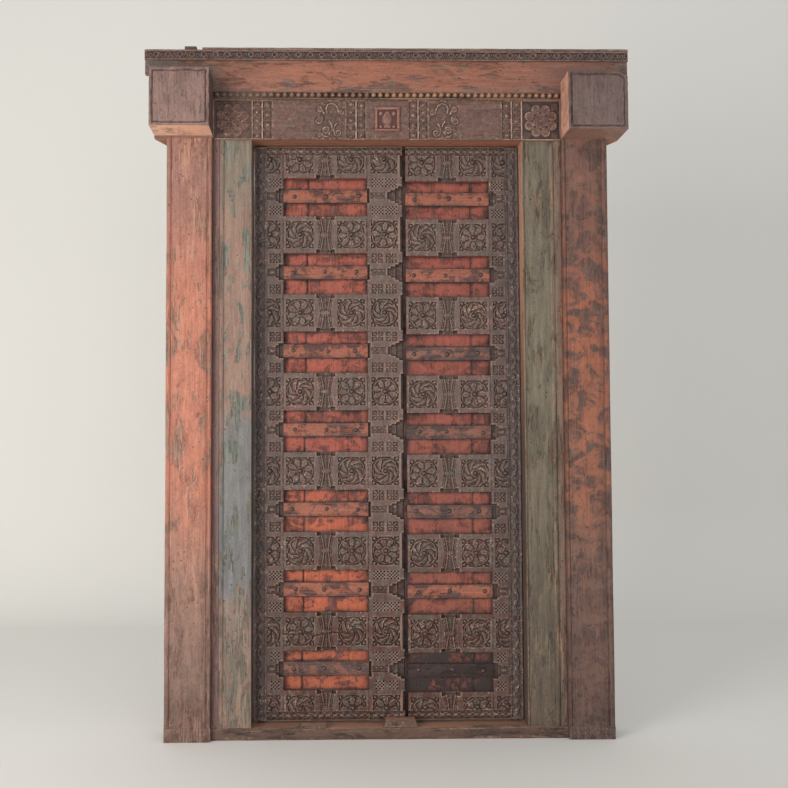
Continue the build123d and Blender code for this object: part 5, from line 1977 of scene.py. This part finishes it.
    def _rail(self, number: int) -> bpy.types.Object:
        """Carve one rail: two rosette squares with a waisted panel between."""
        node = f"{self.body}_rail_{number + 1}"
        box = self.rails[number]
        board = Relief(f"{self.body}_rail_carved_{number + 1}", box)
        low, high = self.zones[number]
        centre = self.centres[number]
        offset = (box.width - self.square_width) / 2
        for side in (-1, 1):
            bloom = Bloom.WHORL if (number + (side > 0)) % 2 else Bloom.LOTUS
            turn = 0.4 * number + 0.7 * side
            board.rosette(box.x + side * offset, centre, self.rosette_half, bloom, turn,
                          (low, high))
        board.waist(box.x, centre, low, high)
        ends = [(box.z0, 1), (box.z1, -1)]
        for edge, way in ends:
            if abs(edge - self.rails[0].z1) < 1 or abs(edge - self.rails[-1].z0) < 1:
                continue
            for wide, tall, deep in ((31.0, 10.0, 12.0), (32.5, 12.0, None)):
                start, end = sorted((edge - way * 5, edge + way * tall))
                if deep is None:
                    for hand in (-1, 1):
                        sides = sorted((box.x + hand * 20, box.x + hand * wide))
                        board.notch(sides[0], sides[1], start, end, deep)
                else:
                    board.notch(box.x - wide, box.x + wide, start, end, deep)
        self._strips(board, box)
        if self.side < 0 and number == self.cracked_rail:
            crack = [(box.x0 + share * box.width * 0.72, centre - 8 + rise)
                     for share, rise in ((0, 0), (0.2, -3), (0.34, 2), (0.5, -7), (0.62, -2),
                                         (0.8, 5), (1, 3))]
            board.line(crack, 3.2, -6.5, -6.5)
        board.weather(131 + 7 * number + self.side, edge_shade=0.6)
        piece = board.piece(self.finishes["leaf_carving"])
        return claim(piece, self.body, node)

    def _planks(self) -> bpy.types.Object:
        """Build the planks behind the rails, one board beside the next."""
        node = f"{self.body}_planks"
        box = Box.of(node)
        board = Relief(f"{self.body}_boards", box, 5.0)
        board.dark_at = 5.0
        for number, (low, high) in enumerate(self._joints(box)[1:-1]):
            line = low + (high - low) * (board.z - box.z0) / box.height
            open_joint = number == (0 if self.side < 0 else 1)
            board.level(soft(2.4 - np.abs(board.x - line), 2.4), -5.0 if open_joint else -1.4)
        board.height = board.height - 0.7 * (1 + Unevenness(211, 150.0).at(board.x, board.z))
        # Painted shade on the planks: darker at the ends of each field beside the stiles, beside
        # the battens, and under and over the rails
        ends = np.minimum(board.x - self.rails[1].x0, self.rails[1].x1 - board.x)
        board.painted_shade = 0.75 * np.exp(-np.clip(ends, 0, None) / 13.0)
        for batten in self.battens:
            beside = np.abs(board.z - batten.z) - batten.height / 2
            board.painted_shade = np.maximum(board.painted_shade, 0.95 * np.exp(-np.abs(beside) / 4.5))
        for rail in self.rails:
            below, above = rail.z0 - board.z, board.z - rail.z1
            for gap, share in ((below, 0.85), (above, 0.6)):
                board.painted_shade = np.maximum(board.painted_shade, share * np.exp(-np.abs(gap) / 7.0))
        rows = ~np.any([(board.z[:, 0] > rail.z0 + 14) & (board.z[:, 0] < rail.z1 - 14)
                        for rail in self.rails], axis=0)
        columns = (board.x[0] > self.rails[1].x0 - 28) & (board.x[0] < self.rails[1].x1 + 28)
        board.thin(rows, columns)
        piece = board.piece(self.finishes[f"plank_paint_{self.name}"])
        return claim(piece, self.body, node)

    def _joints(self, box: Box) -> list[tuple[float, float]]:
        """Return the places of the plank edges at the bottom and the top of the leaf."""
        inner = self.rails[1].x1 if self.side < 0 else self.rails[1].x0
        if self.side < 0:
            middle = [(inner - 237, inner - 209), (inner - 71, inner - 71)]
        else:
            middle = [(inner + 106, inner + 106), (inner + 237, inner + 237)]
        return [(box.x0, box.x0), *middle, (box.x1, box.x1)]

    def _batten(self, number: int) -> bpy.types.Object:
        """Build one batten across a field."""
        node = f"{self.body}_batten_{number + 1}"
        box = self.battens[number]
        worn = (self.side > 0 and number in (2, 3, 4)) or (self.side < 0 and number == 6)
        dark = self.side > 0 and number == 6
        finish = "batten_paint_dark" if dark else ("batten_paint_worn" if worn else "batten_paint")
        bar = Moulding(f"{self.body}_bar_{number + 1}", box.x0, box.x1, False, 12.0)
        for y, z in ((box.y0, box.z0), (box.y1, box.z0), (box.y1, box.z1), (box.y0, box.z1)):
            bar.to(y, z, 0.9)
        piece = bar.piece(self.finishes[finish], 151 + number * 3 + self.side, 1.4, 2.2)
        return claim(piece, self.body, node)

    def _studs(self) -> bpy.types.Object:
        """Build the studs at the rosettes."""
        node = f"{self.body}_studs"
        rail = self.rails[1]
        stile = Box.of(f"{self.body}_inner_stile")
        offset = (rail.width - self.square_width) / 2
        inset = self.stud_radius + 1
        hinge = stile.x0 + inset if self.side < 0 else stile.x1 - inset
        places = []
        for number, centre in enumerate(self.centres):
            low, high = self.zones[number]
            z = min(max(centre, low + self.stud_radius), high - self.stud_radius)
            places += [(rail.x - offset, rail.y0, z), (rail.x + offset, rail.y0, z),
                       (hinge, rail.y0 + 1.0, z)]
            if self.side < 0:
                meeting = Box.of(f"{self.body}_meeting_stile")
                places.append((meeting.x - 2, meeting.y0, z))
        piece = domes(f"{self.body}_stud_heads", places, self.stud_radius, self.stud_height, 1.6,
                      self.finishes["forged_iron"], 163 + self.side)
        return claim(piece, self.body, node)

    def _nails(self) -> bpy.types.Object:
        """Build three nail heads on each batten."""
        node = f"{self.body}_nails"
        draw = np.random.default_rng(167 + self.side)
        places = []
        for batten in self.battens:
            for across in (-self.nail_spread, 0, self.nail_spread):
                shift, rise = draw.uniform(-9, 9), draw.uniform(-3, 3)
                places.append((batten.x + across + shift, batten.y0 + 0.6, batten.z + rise))
        piece = domes(f"{self.body}_nail_heads", places, self.nail_radius, self.nail_height, 0.8,
                      self.finishes["forged_iron"], 173 + self.side, 10)
        return claim(piece, self.body, node)


@dataclass
class Studio:
    """Pale floor and backdrop, soft lamps, and the camera at the photograph's angle."""

    camera_place: tuple[float, float, float] = (-219.5, -3015.0, 1000.9)
    yaw: float = 0.016
    pitch: float = 0.0407
    roll: float = -0.0028
    lens: float = 39.56
    shift: tuple[float, float] = (0.0691, 0.0243)
    floor_reach: float = 7000.0
    floor_tone: Colour = tone(232, 230, 224)
    world_strength: float = 0.62

    def build(self) -> None:
        """Set the whole stage."""
        self._floor()
        self._lamps()
        self._camera()
        bpy.context.scene.view_settings.view_transform = "Standard"

    def _floor(self) -> None:
        """Build a floor that bends up into a backdrop."""
        finish = PlainStudio("studio_floor", self.floor_tone).material()
        bend, back, top = 700.0, 2600.0, 4200.0
        path = [(-self.floor_reach, 0.0), (back - bend, 0.0)]
        path += [(back - bend + bend * math.sin(turn), bend - bend * math.cos(turn))
                 for turn in np.linspace(0.1, math.pi / 2, 12)]
        path.append((back, top))
        points = [(side * self.floor_reach, y, z) for y, z in path for side in (-1, 1)]
        loops, starts = [], []
        for number in range(len(path) - 1):
            first = 2 * number
            starts.append(len(loops))
            loops += [first, first + 1, first + 3, first + 2]
        mesh = mesh_of("studio_floor", np.array(points), np.array(loops), np.array(starts))
        floor = new_object("studio_floor", mesh, finish, 60.0)

    def _lamps(self) -> None:
        """Hang a wide key lamp low on the left, a soft front fill, and an even world."""
        self._lamp("key_lamp", (-3300, -3400, 1300), (0, 0, 1300), 2000, 152.0, (1.0, 0.965, 0.905))
        self._lamp("fill_lamp", (1500, -4600, 900), (0, 0, 1500), 3000, 62.0, (1.0, 0.97, 0.93))
        world = bpy.data.worlds.new("studio_light")
        world.use_nodes = True
        sky = world.node_tree.nodes["Background"]
        sky.inputs["Color"].default_value = (0.96, 0.97, 1.0, 1.0)
        sky.inputs["Strength"].default_value = self.world_strength
        bpy.context.scene.world = world

    @staticmethod
    def _lamp(name: str, place: tuple[float, float, float], aim: tuple[float, float, float],
              size: float, power: float, colour: tuple[float, float, float]) -> None:
        """Hang one square area lamp.

        Args:
            name: Its name.
            place: Where it hangs.
            aim: What it points at.
            size: Its width.
            power: Its power in watts.
            colour: Its colour.
        """
        lamp = bpy.data.lights.new(name, "AREA")
        lamp.shape = "SQUARE"
        lamp.size = size * MM
        lamp.energy = power
        lamp.color = colour
        made = bpy.data.objects.new(name, lamp)
        made.location = Vector(place) * MM
        ahead = (Vector(aim) - Vector(place)).normalized()
        made.rotation_euler = ahead.to_track_quat("-Z", "Y").to_euler()
        bpy.context.scene.collection.objects.link(made)

    def _camera(self) -> None:
        """Stand the camera where the photograph was taken from."""
        ahead = Vector((math.sin(self.yaw) * math.cos(self.pitch),
                        math.cos(self.yaw) * math.cos(self.pitch), math.sin(self.pitch)))
        right = Vector((math.cos(self.yaw), -math.sin(self.yaw), 0))
        up = right.cross(ahead)
        tilted_right = right * math.cos(self.roll) + up * math.sin(self.roll)
        tilted_up = up * math.cos(self.roll) - right * math.sin(self.roll)
        camera = bpy.data.cameras.new("photo_camera")
        camera.lens = self.lens
        camera.sensor_width = 36.0
        camera.shift_x, camera.shift_y = self.shift
        made = bpy.data.objects.new("photo_camera", camera)
        turn = Matrix((tilted_right, tilted_up, -ahead)).transposed().to_4x4()
        made.matrix_world = Matrix.Translation(Vector(self.camera_place) * MM) @ turn
        bpy.context.scene.collection.objects.link(made)
        bpy.context.scene.camera = made


def triangle_count(pieces: Iterable[bpy.types.Object]) -> int:
    """Count the triangles of some pieces."""
    total = 0
    for piece in pieces:
        piece.data.calc_loop_triangles()
        total += len(piece.data.loop_triangles)
    return total


def main() -> None:
    """Build the door's sub-assemblies in order and set the stage."""
    logging.basicConfig(level=logging.INFO, format="%(name)s: %(message)s")
    finishes = Finishes().build()
    pieces: list[bpy.types.Object] = []
    for assembly in (OuterFrame(finishes), Header(finishes), Leaf(-1, finishes), Leaf(1, finishes)):
        for piece in assembly.build():
            LOG.info("%s: %d triangles", piece.name, triangle_count([piece]))
            pieces.append(piece)
    Studio().build()
    LOG.info("%d pieces, %d triangles", len(pieces), triangle_count(pieces))


if __name__ == "__main__":
    main()
